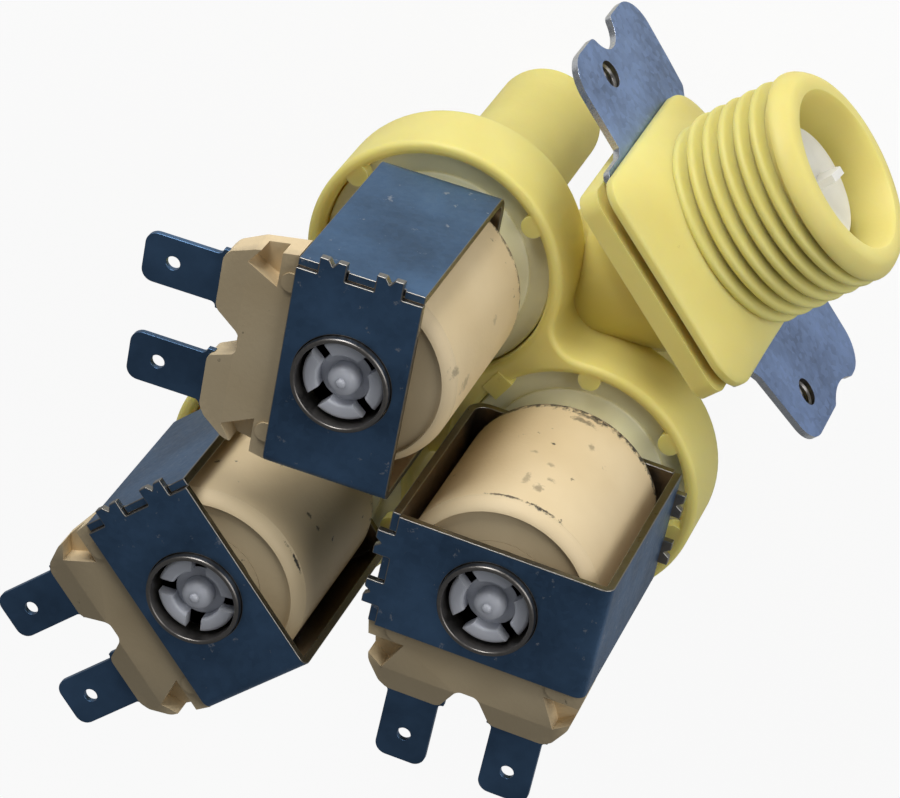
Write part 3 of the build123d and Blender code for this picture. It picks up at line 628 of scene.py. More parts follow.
def coil_plastic(colour, groups):
    """Matt beige moulding with smears, specks, dark marks on the coils, and grime with painted shade on
    the blocks.
    """
    material, tree, principled = shader("Coil Plastic", colour, 0.55)
    surface = placed_group(tree, groups["mottle"], Cloud_Scale=70.0, Grain_Scale=1600.0)
    smears = placed_group(tree, groups["smudge"], Scale=75.0, Threshold=0.66, Softness=0.22,
                          Seed=0.031)
    specks = placed_group(tree, groups["smudge"], Scale=340.0, Threshold=0.69, Softness=0.04,
                          Seed=0.072)
    tone = blend_colour(tree, surface.outputs["Tone"], shade(colour, 0.92, (1, 0.97, 0.92)),
                        shade(colour, 1.03))
    smeared = blend_colour(tree, maths(tree, "MULTIPLY", smears.outputs["Mask"], 0.45), tone,
                           shade(colour, 0.42, (1, 0.95, 0.9)))
    specked = blend_colour(tree, maths(tree, "MULTIPLY", specks.outputs["Mask"], 0.8), smeared,
                           (0.05, 0.045, 0.04, 1))
    marks = 0.0
    # Dark marks: stains on the coils, a dark ragged band round the side cases' back ends, and grime with
    # painted shade over the blocks
    for stains_and_shade, raggedness in ((COIL_DARK_MARKS, 1.0), (BLOCK_GRIME_AND_SHADE, 0.2)):
        for centre, reach, strength in stains_and_shade:
            stain_and_shade = placed_group(tree, groups["stain_and_shade"], Centre=[c * MM for c in centre],
                                 Reach=[r * MM for r in reach], Strength=strength,
                                 Raggedness=raggedness)
            marks = maths(tree, "MAXIMUM", stain_and_shade.outputs["Mask"], marks)
    marked = blend_colour(tree, marks, specked, (0.055, 0.045, 0.035, 1))
    tree.links.new(marked, principled.inputs["Base Color"])
    tree.links.new(remap(tree, surface.outputs["Tone"], 0, 1, 0.48, 0.62),
                   principled.inputs["Roughness"])
    bump(tree, principled, surface.outputs["Height"], 0.15, 0.00015)
    return material


def plated_steel(name, colour, groups, patch, roughness, worn=0.0):
    """Zinc-plated sheet: clouded, patchy with crystals, and where worn with pale specks."""
    material, tree, principled = shader(name, colour, roughness[0], 0.9)
    sheet = placed_group(tree, groups["spangle"], Patch_Scale=1300.0, Scratch_Scale=1100.0)
    cloudy = blend_colour(tree, remap(tree, sheet.outputs["Cloud"], 0.35, 0.68), shade(colour, 0.72),
                          shade(colour, 1.25))
    patchy = blend_colour(tree, maths(tree, "MULTIPLY", sheet.outputs["Patch"], patch), cloudy,
                          shade(colour, 1.9))
    if worn:
        specks = placed_group(tree, groups["smudge"], Scale=520.0, Threshold=0.66, Softness=0.05,
                              Seed=0.113)
        patchy = blend_colour(tree, maths(tree, "MULTIPLY", specks.outputs["Mask"], worn), patchy,
                              (0.42, 0.45, 0.5, 1))
    tree.links.new(patchy, principled.inputs["Base Color"])
    tree.links.new(remap(tree, sheet.outputs["Scratch"], 0.3, 0.7, *roughness),
                   principled.inputs["Roughness"])
    bump(tree, principled, sheet.outputs["Scratch"], 0.06, 0.0001)
    return material


def bare_metal(name, colour, groups, roughness=(0.25, 0.45)):
    """Unplated metal, finely scratched. On the yokes' inside its brown is a painted reflection of the
    coil.
    """
    material, tree, principled = shader(name, colour, roughness[0], 1.0)
    sheet = placed_group(tree, groups["spangle"], Patch_Scale=800.0, Scratch_Scale=1500.0)
    toned = blend_colour(tree, sheet.outputs["Scratch"], shade(colour, 0.7), shade(colour, 1.2))
    tree.links.new(toned, principled.inputs["Base Color"])
    tree.links.new(remap(tree, sheet.outputs["Scratch"], 0.3, 0.7, *roughness),
                   principled.inputs["Roughness"])
    return material


def plain_moulding(name, colour, groups, roughness=(0.4, 0.5), translucence=0.0):
    """An even moulded plastic or rubber."""
    material, tree, principled = shader(name, colour, roughness[0])
    surface = placed_group(tree, groups["mottle"], Cloud_Scale=120.0, Grain_Scale=1800.0)
    tone = blend_colour(tree, surface.outputs["Tone"], shade(colour, 0.9), shade(colour, 1.04))
    tree.links.new(tone, principled.inputs["Base Color"])
    tree.links.new(remap(tree, surface.outputs["Tone"], 0, 1, *roughness),
                   principled.inputs["Roughness"])
    principled.inputs["Subsurface Weight"].default_value = translucence
    principled.inputs["Subsurface Radius"].default_value = (1, 1, 0.9)
    principled.inputs["Subsurface Scale"].default_value = 0.002
    bump(tree, principled, surface.outputs["Height"], 0.1, 0.0001)
    return material


# The materials by the names that the operators below ask for, filled by the first operator
MATERIALS = {}


class VALVE_OT_finishes(bpy.types.Operator):
    """Build the shader groups and the materials of every piece"""
    bl_idname = "inlet_valve.finishes"
    bl_label = "Make Materials"

    def execute(self, context):
        colours = context.scene.valve_finishes
        groups = {"mottle": mottle_group(), "smudge": smudge_group(), "spangle": spangle_group(),
                  "stain_and_shade": stain_and_shade_group()}
        body, coil, yoke, bracket, bonnet, crown, strainer = (
            tuple(getattr(colours, name))
            for name in ("body", "coil", "yoke", "bracket", "bonnet", "crown", "strainer"))
        MATERIALS.update({
            "body": body_plastic(body, groups),
            "coil": coil_plastic(coil, groups),
            "yoke": plated_steel("Yoke Steel", yoke, groups, 0.12, (0.34, 0.5), worn=0.7),
            "blade": plated_steel("Blade Steel", yoke, groups, 0.05, (0.3, 0.42)),
            "bracket": plated_steel("Bracket Zinc", bracket, groups, 0.3, (0.3, 0.45)),
            # The guide tubes' milky plastic with painted light: lighter and yellower than its own cream
            "bonnet": plain_moulding("Milky Guide With Painted Light", bonnet, groups, (0.35, 0.5), 0.5),
            "crown": plain_moulding("Grey Guide End", crown, groups, (0.3, 0.42), 0.3),
            "strainer": plain_moulding("White Strainer", strainer, groups, (0.4, 0.5), 0.2),
            "grey_plastic": plain_moulding("Grey Regulator", (0.36, 0.38, 0.39), groups),
            "rubber": plain_moulding("Black Rubber", (0.03, 0.03, 0.03), groups, (0.6, 0.75)),
            "cut_edge": bare_metal("Sheared Edge", (0.20, 0.18, 0.14), groups),
            "worn_edge": bare_metal("Worn Edge", (0.30, 0.29, 0.27), groups, (0.25, 0.4)),
            # The yokes' inside: brown as a painted reflection of the beige coil, with fine scratches
            "yoke_inside_reflection": bare_metal("Yoke Inside Painted Reflection", (0.36, 0.30, 0.235), groups, (0.26, 0.42)),
            "bracket_edge": bare_metal("Bracket Edge", (0.72, 0.74, 0.77), groups, (0.2, 0.35)),
            "tapped": bare_metal("Tapped Hole", (0.22, 0.21, 0.20), groups),
            "sleeve": bare_metal("Sleeve Steel", (0.22, 0.205, 0.19), groups, (0.28, 0.45)),
            "copper": bare_metal("Winding Copper", (0.62, 0.30, 0.14), groups),
            "steel": bare_metal("Stainless Steel", (0.55, 0.56, 0.57), groups),
        })
        return {"FINISHED"}


# Moulded body

class VALVE_OT_moulding(bpy.types.Operator):
    """Finish the yellow moulding, its front block drawn in softly to the hose thread's root"""
    bl_idname = "inlet_valve.moulding"
    bl_label = "Add Moulding"

    def execute(self, context):
        cut_x, longest_flat = 1.4, 1.5
        bm = bmesh.new()
        bm.from_mesh(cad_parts["valve_body"].data)
        bmesh.ops.scale(bm, verts=bm.verts, vec=(1 / MM, 1 / MM, 1 / MM))
        bmesh.ops.remove_doubles(bm, verts=bm.verts, dist=1e-3)
        bmesh.ops.bisect_plane(bm, geom=bm.verts[:] + bm.edges[:] + bm.faces[:], dist=1e-4,
                               plane_co=(cut_x, 0, 0), plane_no=(1, 0, 0), clear_outer=True)
        bmesh.ops.dissolve_limit(bm, angle_limit=math.radians(0.5), use_dissolve_boundaries=False,
                                 verts=bm.verts, edges=bm.edges)
        flats = [e for e in self.rim(bm, cut_x) if e.calc_length() > longest_flat]
        bmesh.ops.subdivide_edges(bm, edges=flats, cuts=24)
        loop = self.rim(bm, cut_x)
        inner = [e for e in bm.edges if e.is_boundary and e not in loop]
        self.draw_in(bm, loop, inner)
        finished("moulding", bm, [MATERIALS["body"]], ["valve_body"],
                 edge=context.scene.valve_moulding.edge_round)
        return {"FINISHED"}

    def rim(self, bm, x):
        """Outer edges of the cut across the front flange, without those of the bore inside it."""
        bore_limit = 11
        return [e for e in bm.edges if e.is_boundary and e.verts[0].co.yz.length > bore_limit
                and abs(e.verts[0].co.x - x) < 0.01]

    def draw_in(self, bm, loop, inner):
        """Carry the cut flange forward in rings, each one nearer to a circle than the last.

        A ring is its place along the inlet, the share of the flange's outline that it keeps, and the
        radius of the circle that takes up the rest.
        """
        rings = [(1.6, 0.995, 12.9), (1.8, 0.97, 12.9), (2.0, 0.925, 12.9), (2.25, 0.85, 12.9),
                 (2.5, 0.765, 12.9), (2.8, 0.65, 12.9), (3.1, 0.52, 12.88), (3.4, 0.39, 12.84),
                 (3.7, 0.27, 12.78), (4.0, 0.17, 12.68), (4.3, 0.095, 12.55), (4.6, 0.05, 12.4),
                 (4.9, 0.025, 12.27), (5.2, 0.012, 12.16), (5.7, 0.005, 12.04)]
        share, circle = 1.0, 12.9
        for x, next_share, next_circle in rings:
            grown = bmesh.ops.extrude_edge_only(bm, edges=loop)
            loop = [g for g in grown["geom"] if isinstance(g, bmesh.types.BMEdge) and g.is_boundary]
            for vert in {v for edge in loop for v in edge.verts}:
                radius = vert.co.yz.length
                plan = circle + (radius - circle) / share
                scale = (next_circle + (plan - next_circle) * next_share) / radius
                vert.co = (x, vert.co.y * scale, vert.co.z * scale)
            share, circle = next_share, next_circle
        bmesh.ops.bridge_loops(bm, edges=loop + inner)
        bmesh.ops.recalc_face_normals(bm, faces=bm.faces)


class VALVE_OT_inlet_thread(bpy.types.Operator):
    """Turn the inlet tube with its collar and mouth, and wind its hose thread"""
    bl_idname = "inlet_valve.inlet_thread"
    bl_label = "Add Hose Thread"

    def execute(self, context):
        sizes = context.scene.valve_moulding
        root, crest = sizes.thread_root_r / MM, sizes.thread_crest_r / MM
        bore = sizes.mouth_bore_r / MM
        duct, start, seat = 8.4, 1.35, 5.6
        collar = [(0.16, 17.78), (0.04, 17.86), (0, 18.0), (0.02, 18.35), (0.12, 18.7), (0.4, 19.2),
                  (0.78, 19.7), (1.15, 20.08), (1.5, 20.28), (1.95, 20.38), (2.4, 20.4)]
        flare = [(0.68, 20.4), (0.52, 20.36), (0.42, 20.22), (0.22, 19.3), (0, 18.2)]
        profile = [(duct, start), (11.5, start), (root, 4.6), (root, 17.05), (root + 0.12, 17.25)]
        profile += [(crest - below, x) for below, x in collar]
        profile += [(bore + beyond, x) for beyond, x in flare]
        tube = lathe(profile + [(bore, seat), (duct, seat)], 160)
        add_to(tube, self.ridge(root, crest, sizes.thread_pitch / MM))
        finished("inlet_thread", tube, [MATERIALS["body"]], ["valve_body"], ALONG_X)
        return {"FINISHED"}

    def ridge(self, root, crest, pitch):
        """The wound ridge, faded into the tube at its two ends."""
        first, last, steps_per_turn, faded_turns = 3.83, 17.35, 120, 0.35
        turns = (last - first) / pitch
        steps = int(turns * steps_per_turn)
        foot = root - 0.3
        half = [(foot, 1.07), (root, 1.06), (root + 0.16, 0.97), (root + 0.5, 0.77),
                (root + 0.92, 0.57), (crest - 0.18, 0.42), (crest - 0.05, 0.24)]
        section = half + [(crest, 0.0)] + [(r, -z) for r, z in reversed(half)]
        ridge = wound([(r, first - z) for r, z in section], turns, last - first, steps_per_turn)
        fade_steps = faded_turns * steps_per_turn
        ridge.verts.ensure_lookup_table()
        for vert in ridge.verts:
            step = vert.index // len(section)
            strength = min(1.0, step / fade_steps, (steps - step) / fade_steps)
            radius = vert.co.xy.length
            vert.co.xy *= (foot + (radius - foot) * strength) / radius
        return ridge


class VALVE_OT_strainer(bpy.types.Operator):
    """Turn the strainer's cup and stand its pull tab on the face"""
    bl_idname = "inlet_valve.strainer"
    bl_label = "Add Strainer"

    def execute(self, context):
        rim_r, face_r, face = 9.6, 7.5, 16.0
        cup = lathe([(7.6, 5.6), (rim_r, 5.6), (rim_r, 7.0), (8.6, 7.0), (face_r, face), (0, face),
                     (0, 15.0), (6.5, 15.0)])
        bevel_rings(cup, face_r, face, 0.4, 4)
        windows, window_count = bmesh.new(), 10
        for index in range(window_count):
            turn = Matrix.Rotation(math.tau * index / window_count, 4, "Z")
            add_to(windows, block((4, rim_r), (-1.3, 1.3), (8.6, 13.4)), turn)
        cup = combine(cup, windows, "DIFFERENCE")
        tab = prism([(-1.7, 15.9), (1.7, 15.9), (1.35, 18.6), (0.75, 19.3), (-0.2, 19.0),
                     (-1.35, 18.7)], -0.5, 0.5)
        stand_up(tab)
        add_to(cup, tab)
        finished("strainer", cup, [MATERIALS["strainer"]], ["inlet_strainer"],
                 ALONG_X, edge=0.00015)
        return {"FINISHED"}


# Bracket

class VALVE_OT_bracket(bpy.types.Operator):
    """Cut the bracket from sheet, with its notched ears, and draw out its threaded holes"""
    bl_idname = "inlet_valve.bracket"
    bl_label = "Add Bracket"

    def execute(self, context):
        half = context.scene.valve_metal.bracket_sheet / MM / 2
        hole_y, hole_r, collar_r, collar_rise = 23.2, 1.75, 2.9, 1.8
        sheet = prism(rounded(self.outline(), 10), -half, half)
        for y in (hole_y, -hole_y):
            sheet = combine(sheet, cylinder(collar_r, -half - collar_rise, half - 0.2, y), "UNION")
            sheet = combine(sheet, cylinder(hole_r, -half - 3, half + 1, y), "DIFFERENCE")
        for face in sheet.faces:
            middle = face.calc_center_median()
            upright = abs(face.normal.z) < 0.3
            in_hole = upright and math.hypot(abs(middle.x) - hole_y, middle.y) < hole_r + 0.15
            face.material_index = 2 if in_hole else 1 if upright and abs(middle.z) < half else 0
        for y in (hole_y, -hole_y):
            add_to(sheet, self.tapped_thread(half), Matrix.Translation((y, 0, 0)))
        across = Matrix(((0, 0, 1, 0), (1, 0, 0, 0), (0, 1, 0, 0), (0, 0, 0, 1)))
        looks = [MATERIALS["bracket"], MATERIALS["bracket_edge"], MATERIALS["tapped"]]
        finished("bracket", sheet, looks, ["mounting_bracket"], across,
                 edge=0.00016, segments=3)
        return {"FINISHED"}

    def outline(self):
        """The flat bracket's corners and radii: a fork round the neck and a notched ear each side."""
        ear_end, fork_r = 28, 11.7
        left_notch = notched_edge(ear_end, 28.75, -4.6, 3.65, 1.1)
        right_notch = notched_edge(ear_end, 34.6, -9.3, 7.8, 1.6)
        corners = [(fork_r, 0, 0), (fork_r, 15.3, 1.3), (15.9, 15.3, 1.3), (15.9, 10.2, 0),
                   (16.6, 8.8, 0), (ear_end, 8.4, 4.3)]
        corners += [(x, y, 0) for x, y in left_notch]
        corners += [(ear_end, -17.2, 4.3), (18.5, -16.4, 0), (14.6, -15.9, 0.9), (13.0, -13.9, 0.8),
                    (11.3, -13.9, 0.8), (9.6, -16.8, 0.8), (-fork_r, -17.2, 0), (-fork_r, -19.2, 0),
                    (-ear_end, -19.2, 4.3)]
        corners += [(-x, y, 0) for x, y in reversed(right_notch)]
        corners += [(-ear_end, 5.9, 4.3), (-16.6, 8.8, 0), (-14.6, 10.2, 0), (-14.6, 15.3, 1.3),
                    (-fork_r, 15.3, 1.3), (-fork_r, 0, 0)]
        return corners + [(x, y, 0) for x, y in arc(0, 0, fork_r, 180, 360, 60)[1:-1]]

    def tapped_thread(self, half):
        """The tapped thread's ridge inside one drawn hole."""
        ridge = [(1.82, 0.33), (1.72, 0.3), (1.48, 0.04), (1.48, -0.04), (1.72, -0.3), (1.82, -0.33)]
        turns, pitch, first = 3, 0.7, half - 0.4
        thread = wound([(r, first + z) for r, z in ridge], turns, -turns * pitch, 36)
        give_material(thread, 2)
        return thread


# Yokes, sleeves and blades

def yoke_angle(sheet_t, bend_r):
    """One steel angle: staked tabs at -y, a hole, the bend at +y and the side with its finger slots.

    Its materials are the plated outside, the long sheared edges, the staked ends and the inside, whose
    brown is a painted reflection of the coil.
    """
    half_w, reach, side_inner, depth = 7.6, 13.5, 12.5, 30.45
    hole_r, tip_short = 5.95, 0.6
    finger_places, finger_half, slot_half, slot_depth = (-3.4, 3.4), 1.625, 1.705, 1.08
    stake_half, stake_depth, end = 0.55, 0.8, -(reach + 1.15)
    outline = [(-half_w, -side_inner)]
    for centre in finger_places:
        left, right = centre - finger_half, centre + finger_half
        outline += [(left, -side_inner), (left, end), (centre - stake_half, end),
                    (centre, end + stake_depth), (centre + stake_half, end), (right, end),
                    (right, -side_inner)]
    outline += [(half_w, -side_inner), (half_w, reach - bend_r), (-half_w, reach - bend_r)]
    angle = prism(outline, -sheet_t, 0)
    bend_end = [f for f in angle.faces if f.normal.y > 0.9 and f.calc_center_median().y > 0]
    bent = bmesh.ops.spin(angle, geom=bend_end, cent=(0, reach - bend_r, -bend_r), axis=(1, 0, 0),
                          angle=-math.radians(90), steps=10)
    tip = [g for g in bent["geom_last"] if isinstance(g, bmesh.types.BMFace)]
    drawn = bmesh.ops.extrude_face_region(angle, geom=tip)
    lower = [v for v in drawn["geom"] if isinstance(v, bmesh.types.BMVert)]
    bmesh.ops.translate(angle, verts=lower, vec=(0, 0, -(depth - tip_short - bend_r)))
    bmesh.ops.remove_doubles(angle, verts=angle.verts, dist=1e-3)
    walls = [f for f in angle.faces if all(len(e.link_faces) > 2 for e in f.edges)]
    bmesh.ops.delete(angle, geom=walls, context="FACES_ONLY")
    bmesh.ops.recalc_face_normals(angle, faces=angle.faces)
    cutters = cylinder(hole_r, -3, 2, segments=96)
    for centre in finger_places:
        add_to(cutters, block((centre - slot_half, centre + slot_half), (side_inner - 1, reach + 1),
                              (-depth - 1, -depth + slot_depth)))
    angle = combine(angle, cutters, "DIFFERENCE")
    for face in angle.faces:
        middle = face.calc_center_median()
        long_edge = abs(face.normal.x) > 0.7 and abs(middle.x) > half_w - 0.05
        staked = middle.y < -reach + 0.1 and face.normal.z < 0.5
        tip = face.normal.z < -0.9 and middle.z < -depth / 2
        inward = face.normal.y + face.normal.z < -0.85 and not tip
        # Faces turned in towards the coil take the painted reflection of it
        face.material_index = 1 if long_edge else 2 if staked else 3 if inward else 0
    return angle


class VALVE_OT_yokes(bpy.types.Operator):
    """Bend the two steel angles of each yoke and lock their fingers together"""
    bl_idname = "inlet_valve.yokes"
    bl_label = "Add Yokes"

    def execute(self, context):
        sizes = context.scene.valve_metal
        looks = [MATERIALS[name] for name in ("yoke", "cut_edge", "worn_edge", "yoke_inside_reflection")]
        front_bend, back_bend = 1.4, 2.6
        front = yoke_angle(sizes.sheet / MM, front_bend)
        bmesh.ops.translate(front, verts=front.verts, vec=(0, 0, PLATE_FACE_Z))
        fronts = at_each_valve("yoke_front", front, looks, "yoke_front", sizes.burr)
        back = yoke_angle(sizes.sheet / MM, back_bend)
        turned = Matrix.Translation((0, 0, BACK_FACE_Z)) @ Matrix.Rotation(math.pi, 4, "X")
        bmesh.ops.transform(back, matrix=turned, verts=back.verts)
        backs = at_each_valve("yoke_back", back, looks, "yoke_back", sizes.burr)
        for piece in fronts + backs:
            piece.modifiers["Edge round"].material = looks.index(MATERIALS["worn_edge"])
        return {"FINISHED"}


class VALVE_OT_sleeves(bpy.types.Operator):
    """Turn the steel sleeves that are rolled into the yokes' plates"""
    bl_idname = "inlet_valve.sleeves"
    bl_label = "Add Flux Sleeves"

    def execute(self, context):
        bore, outer, lip_rise, front_length, back_length = 5.3, 5.9, 1.0, 10, 9.5
        top = PLATE_FACE_Z + lip_rise
        low, high = top - front_length, BACK_FACE_Z + back_length
        front = plain_ring(bore, outer, low, top, 128)
        bevel_rings(front, outer, top, 0.34, 6)
        bevel_rings(front, bore, top, 0.24, 5)
        at_each_valve("sleeve_front", front, [MATERIALS["sleeve"]], "flux_sleeve_front")
        back = plain_ring(bore, outer, BACK_FACE_Z, high)
        at_each_valve("sleeve_back", back, [MATERIALS["sleeve"]], "flux_sleeve_back")
        return {"FINISHED"}


class VALVE_OT_blades(bpy.types.Operator):
    """Cut the terminal blades, with rounded tips, flared shoulders and locking holes"""
    bl_idname = "inlet_valve.blades"
    bl_label = "Add Terminal Blades"

    def execute(self, context):
        sizes = context.scene.valve_metal
        half = sizes.blade_width / MM / 2
        thick = sizes.blade_thickness / MM
        level, spread = PLATE_FACE_Z - 3.0, 6.55
        hole_x, hole_r = 22.65, 0.85
        upper = [(13.9, 2.0, 0), (16.0, 2.0, 0), (16.0, half + 0.7, 0), (16.95, half + 0.7, 0),
                 (16.95, half, 0.6), (26.3, half, 1.5)]
        corners = upper + [(x, -y, radius) for x, y, radius in reversed(upper)]
        for number, side in ((1, 1), (2, -1)):
            outline = [(x, y + side * spread) for x, y in rounded(corners, 8)]
            blade = prism(outline, level - thick / 2, level + thick / 2)
            hole = cylinder(hole_r, level - 1, level + 1, hole_x, side * spread, 40)
            blade = combine(blade, hole, "DIFFERENCE")
            name = f"terminal_{number}"
            at_each_valve(name, blade, [MATERIALS["blade"]], name, 0.0001, 2)
        return {"FINISHED"}


# Coils and guide tubes

class VALVE_OT_coil_cases(bpy.types.Operator):
    """Turn the coil's drum and join its terminal block, gusset, pockets and pegs to it"""
    bl_idname = "inlet_valve.coil_cases"
    bl_label = "Add Coil Cases"

    def execute(self, context):
        sizes = context.scene.valve_coil
        drum_r = sizes.drum_r / MM
        rim = drum_r - sizes.rim_width / MM
        face = COIL_FRONT_Z - sizes.recess / MM
        bore, boss, low = 6.95, 8.0, BACK_FACE_Z + 1
        shoulder = [(0, 1.75), (0.09, 1.66), (0.24, 1.2), (0.5, 0.7), (0.82, 0.32), (1.1, 0.09)]
        profile = [(bore, low), (boss, low), (boss, COIL_BACK_Z), (drum_r, COIL_BACK_Z)]
        profile += [(drum_r - inward, COIL_FRONT_Z - below) for inward, below in shoulder]
        profile += [(rim + 0.1, COIL_FRONT_Z), (rim, COIL_FRONT_Z - 0.1), (rim - 0.05, face),
                    (bore, face)]
        drum = lathe(profile, 128)
        bevel_rings(drum, drum_r, COIL_BACK_Z, 0.5, 5)
        case = combine(drum, self.terminal_block(), "UNION")
        pocket = [(13.5, 10.7), (11.6, 13.4), (9.6, 13.4), (9.6, 8.7)]
        peg = [(7.65, 8.77), (7.65, 11.03)] + arc(8.05, 9.9, 1.2, 109, -109, 16)
        for side in (1, -1):
            hollow = prism([(x, side * y) for x, y in pocket], BLOCK_TOP_Z - 2.6, BLOCK_TOP_Z + 1)
            case = combine(case, hollow, "DIFFERENCE")
            stud = prism([(x, side * y) for x, y in peg], BLOCK_TOP_Z - 2.7, BLOCK_TOP_Z + 0.25)
            case = combine(case, stud, "UNION")
        at_each_valve("coil_jacket", case, [MATERIALS["coil"]], "coil_overmould",
                      sizes.edge_round, 3)
        return {"FINISHED"}

    def terminal_block(self):
        """The block that holds the blades, with its sloped top and the gusset under it."""
        inner, low = 7.65, PLATE_FACE_Z - 5.2
        half = [(inner, 13.5, 0), (12.9, 12.5, 1.4), (15.9, 10.9, 1.4), (16.7, 9.8, 1.4),
                (16.7, 3.2, 1.1), (13.1, 1.3, 1.1)]
        outline = rounded(half + [(x, -y, radius) for x, y, radius in reversed(half)])
        slab = prism(outline, low, BLOCK_TOP_Z)
        slope = bmesh.ops.bisect_plane(
            slab, geom=slab.verts[:] + slab.edges[:] + slab.faces[:], dist=1e-4,
            plane_co=(13.4, 0, BLOCK_TOP_Z), plane_no=(1.3, 0, 4.3), clear_outer=True)
        cut = [e for e in slope["geom_cut"] if isinstance(e, bmesh.types.BMEdge) and e.is_boundary]
        bmesh.ops.contextual_create(slab, geom=cut)
        bmesh.ops.recalc_face_normals(slab, faces=slab.faces)
        foot, half_w = low - 9, 8
        gusset = prism([(inner, low + 0.5), (14.3, low + 0.5), (14.3, low), (11.3, foot), (inner, foot)],
                       -half_w, half_w)
        stand_up(gusset)
        return combine(slab, gusset, "UNION")


class VALVE_OT_bobbins(bpy.types.Operator):
    """Turn each winding's bobbin, its tube ending level with the case's recessed face"""
    bl_idname = "inlet_valve.bobbins"
    bl_label = "Add Bobbins"

    def execute(self, context):
        sizes = context.scene.valve_coil
        low, face = BACK_FACE_Z + 1.0, COIL_FRONT_Z - sizes.recess / MM
        bore, tube, flange = 6.0, 6.9, sizes.drum_r / MM - 1.5
        loop = [(bore, low), (tube, low)]
        for foot, top in ((24.1, 25.1), (42.86, 43.86)):
            loop += [(tube, foot), (flange, foot), (flange, top), (tube, top)]
        spool = lathe(loop + [(tube, face), (bore, face)])
        at_each_valve("bobbin", spool, [MATERIALS["coil"]], "coil_bobbin")
        return {"FINISHED"}


class VALVE_OT_guide_tubes(bpy.types.Operator):
    """Turn the bonnet with its guide tube and stand the crown and dome on its closed end"""
    bl_idname = "inlet_valve.guide_tubes"
    bl_label = "Add Guide Tubes"

    def execute(self, context):
        end, tube_r = PLATE_FACE_Z - 2.0, 4.9
        tube = self.bonnet(end, tube_r)
        dome_r, dome_top, pip_r, pip_rise = 1.9, PLATE_FACE_Z + 0.1, 0.6, 0.45
        dome = plain_ring(0, dome_r, end - 0.2, dome_top, 64)
        bevel_rings(dome, dome_r, dome_top, 1.14, 8)
        pip_top = dome_top + pip_rise
        pip = plain_ring(0, pip_r, end, pip_top, 32)
        bevel_rings(pip, pip_r, pip_top, pip_rise, 6)
        for shape in (self.crown(end, tube_r), dome, pip):
            give_material(shape, 1)
            add_to(tube, shape)
        at_each_valve("guide_tube", tube, [MATERIALS["bonnet"], MATERIALS["crown"]],
                      "guide_tube", 0.0002, 3)
        return {"FINISHED"}

    def bonnet(self, end, tube_r):
        """The flange under the cup's rim with its steps, and the closed tube, whose end disc is grey."""
        flange_r, step_r, hub_r, bore, wall = 14.2, 11.6, 8.6, 4.08, 1.3
        tube = lathe([(0, end), (tube_r, end), (tube_r, BACK_FACE_Z), (hub_r, BACK_FACE_Z),
                      (hub_r, 16.0), (step_r, 16.0), (step_r, 15.5), (flange_r, 15.5), (flange_r, 13.0),
                      (10.6, 13.0), (9.4, 14.3), (6.5, 14.3), (6.5, 16.1), (bore, 16.1),
                      (bore, end - wall), (0, end - wall)], 128)
        bevel_rings(tube, flange_r, 15.5, 0.3, 3)
        bevel_rings(tube, step_r, 16.0, 0.2, 3)
        bevel_rings(tube, hub_r, 16.0, 0.4, 4)
        for face in tube.faces:
            face.material_index = 1 if face.calc_center_median().z > end - 0.5 else 0
        return tube

    def crown(self, end, tube_r):
        """The ring of four upstanding segments on the tube's end."""
        bore, top, first_gap = 3.1, PLATE_FACE_Z - 0.4, 49
        crown = plain_ring(bore, tube_r, end - 0.2, top)
        bevel_rings(crown, tube_r, top, 0.45, 4)
        bevel_rings(crown, bore, top, 0.35, 4)
        gaps = bmesh.new()
        for index in range(4):
            turn = Matrix.Rotation(math.radians(first_gap + 90 * index), 4, "Z")
            add_to(gaps, block((0, 9), (-0.975, 0.975), (end, PLATE_FACE_Z + 1)), turn)
        return combine(crown, gaps, "DIFFERENCE")


class VALVE_OT_springs(bpy.types.Operator):
    """Wind the return springs, each with a mesh of its own"""
    bl_idname = "inlet_valve.springs"
    bl_label = "Add Return Springs"

    def execute(self, context):
        low, high, turns, coil_r, wire_r = 32.45, 46.15, 9, 1.85, 0.24
        coil = wound(arc(coil_r, low, wire_r, 0, 324, 9), turns, high - low, 28)
        springs = at_each_valve("spring", coil, [MATERIALS["steel"]], "plunger_spring")
        for spring in springs:
            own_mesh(spring)
        return {"FINISHED"}


class VALVE_OT_inner_pieces(bpy.types.Operator):
    """Give their materials to the inner pieces that are shown as their solids"""
    bl_idname = "inlet_valve.inner_pieces"
    bl_label = "Finish Inner Pieces"

    def execute(self, context):
        looks = {"flow_regulator": "grey_plastic", "flow_washer": "rubber", "coil_winding": "copper",
                 "plunger": "steel", "plunger_tip": "rubber", "diaphragm": "rubber",
                 "diaphragm_core": "strainer"}
        for name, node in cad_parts.items():
            if node.hide_render:
                continue
            kind = name if name in looks else name.split("_", 1)[1]
            if kind not in looks:
                raise RuntimeError(f"no finish is given for {name}")
            node.data.materials.clear()
            node.data.materials.append(MATERIALS[looks[kind]])
        return {"FINISHED"}


# Stage

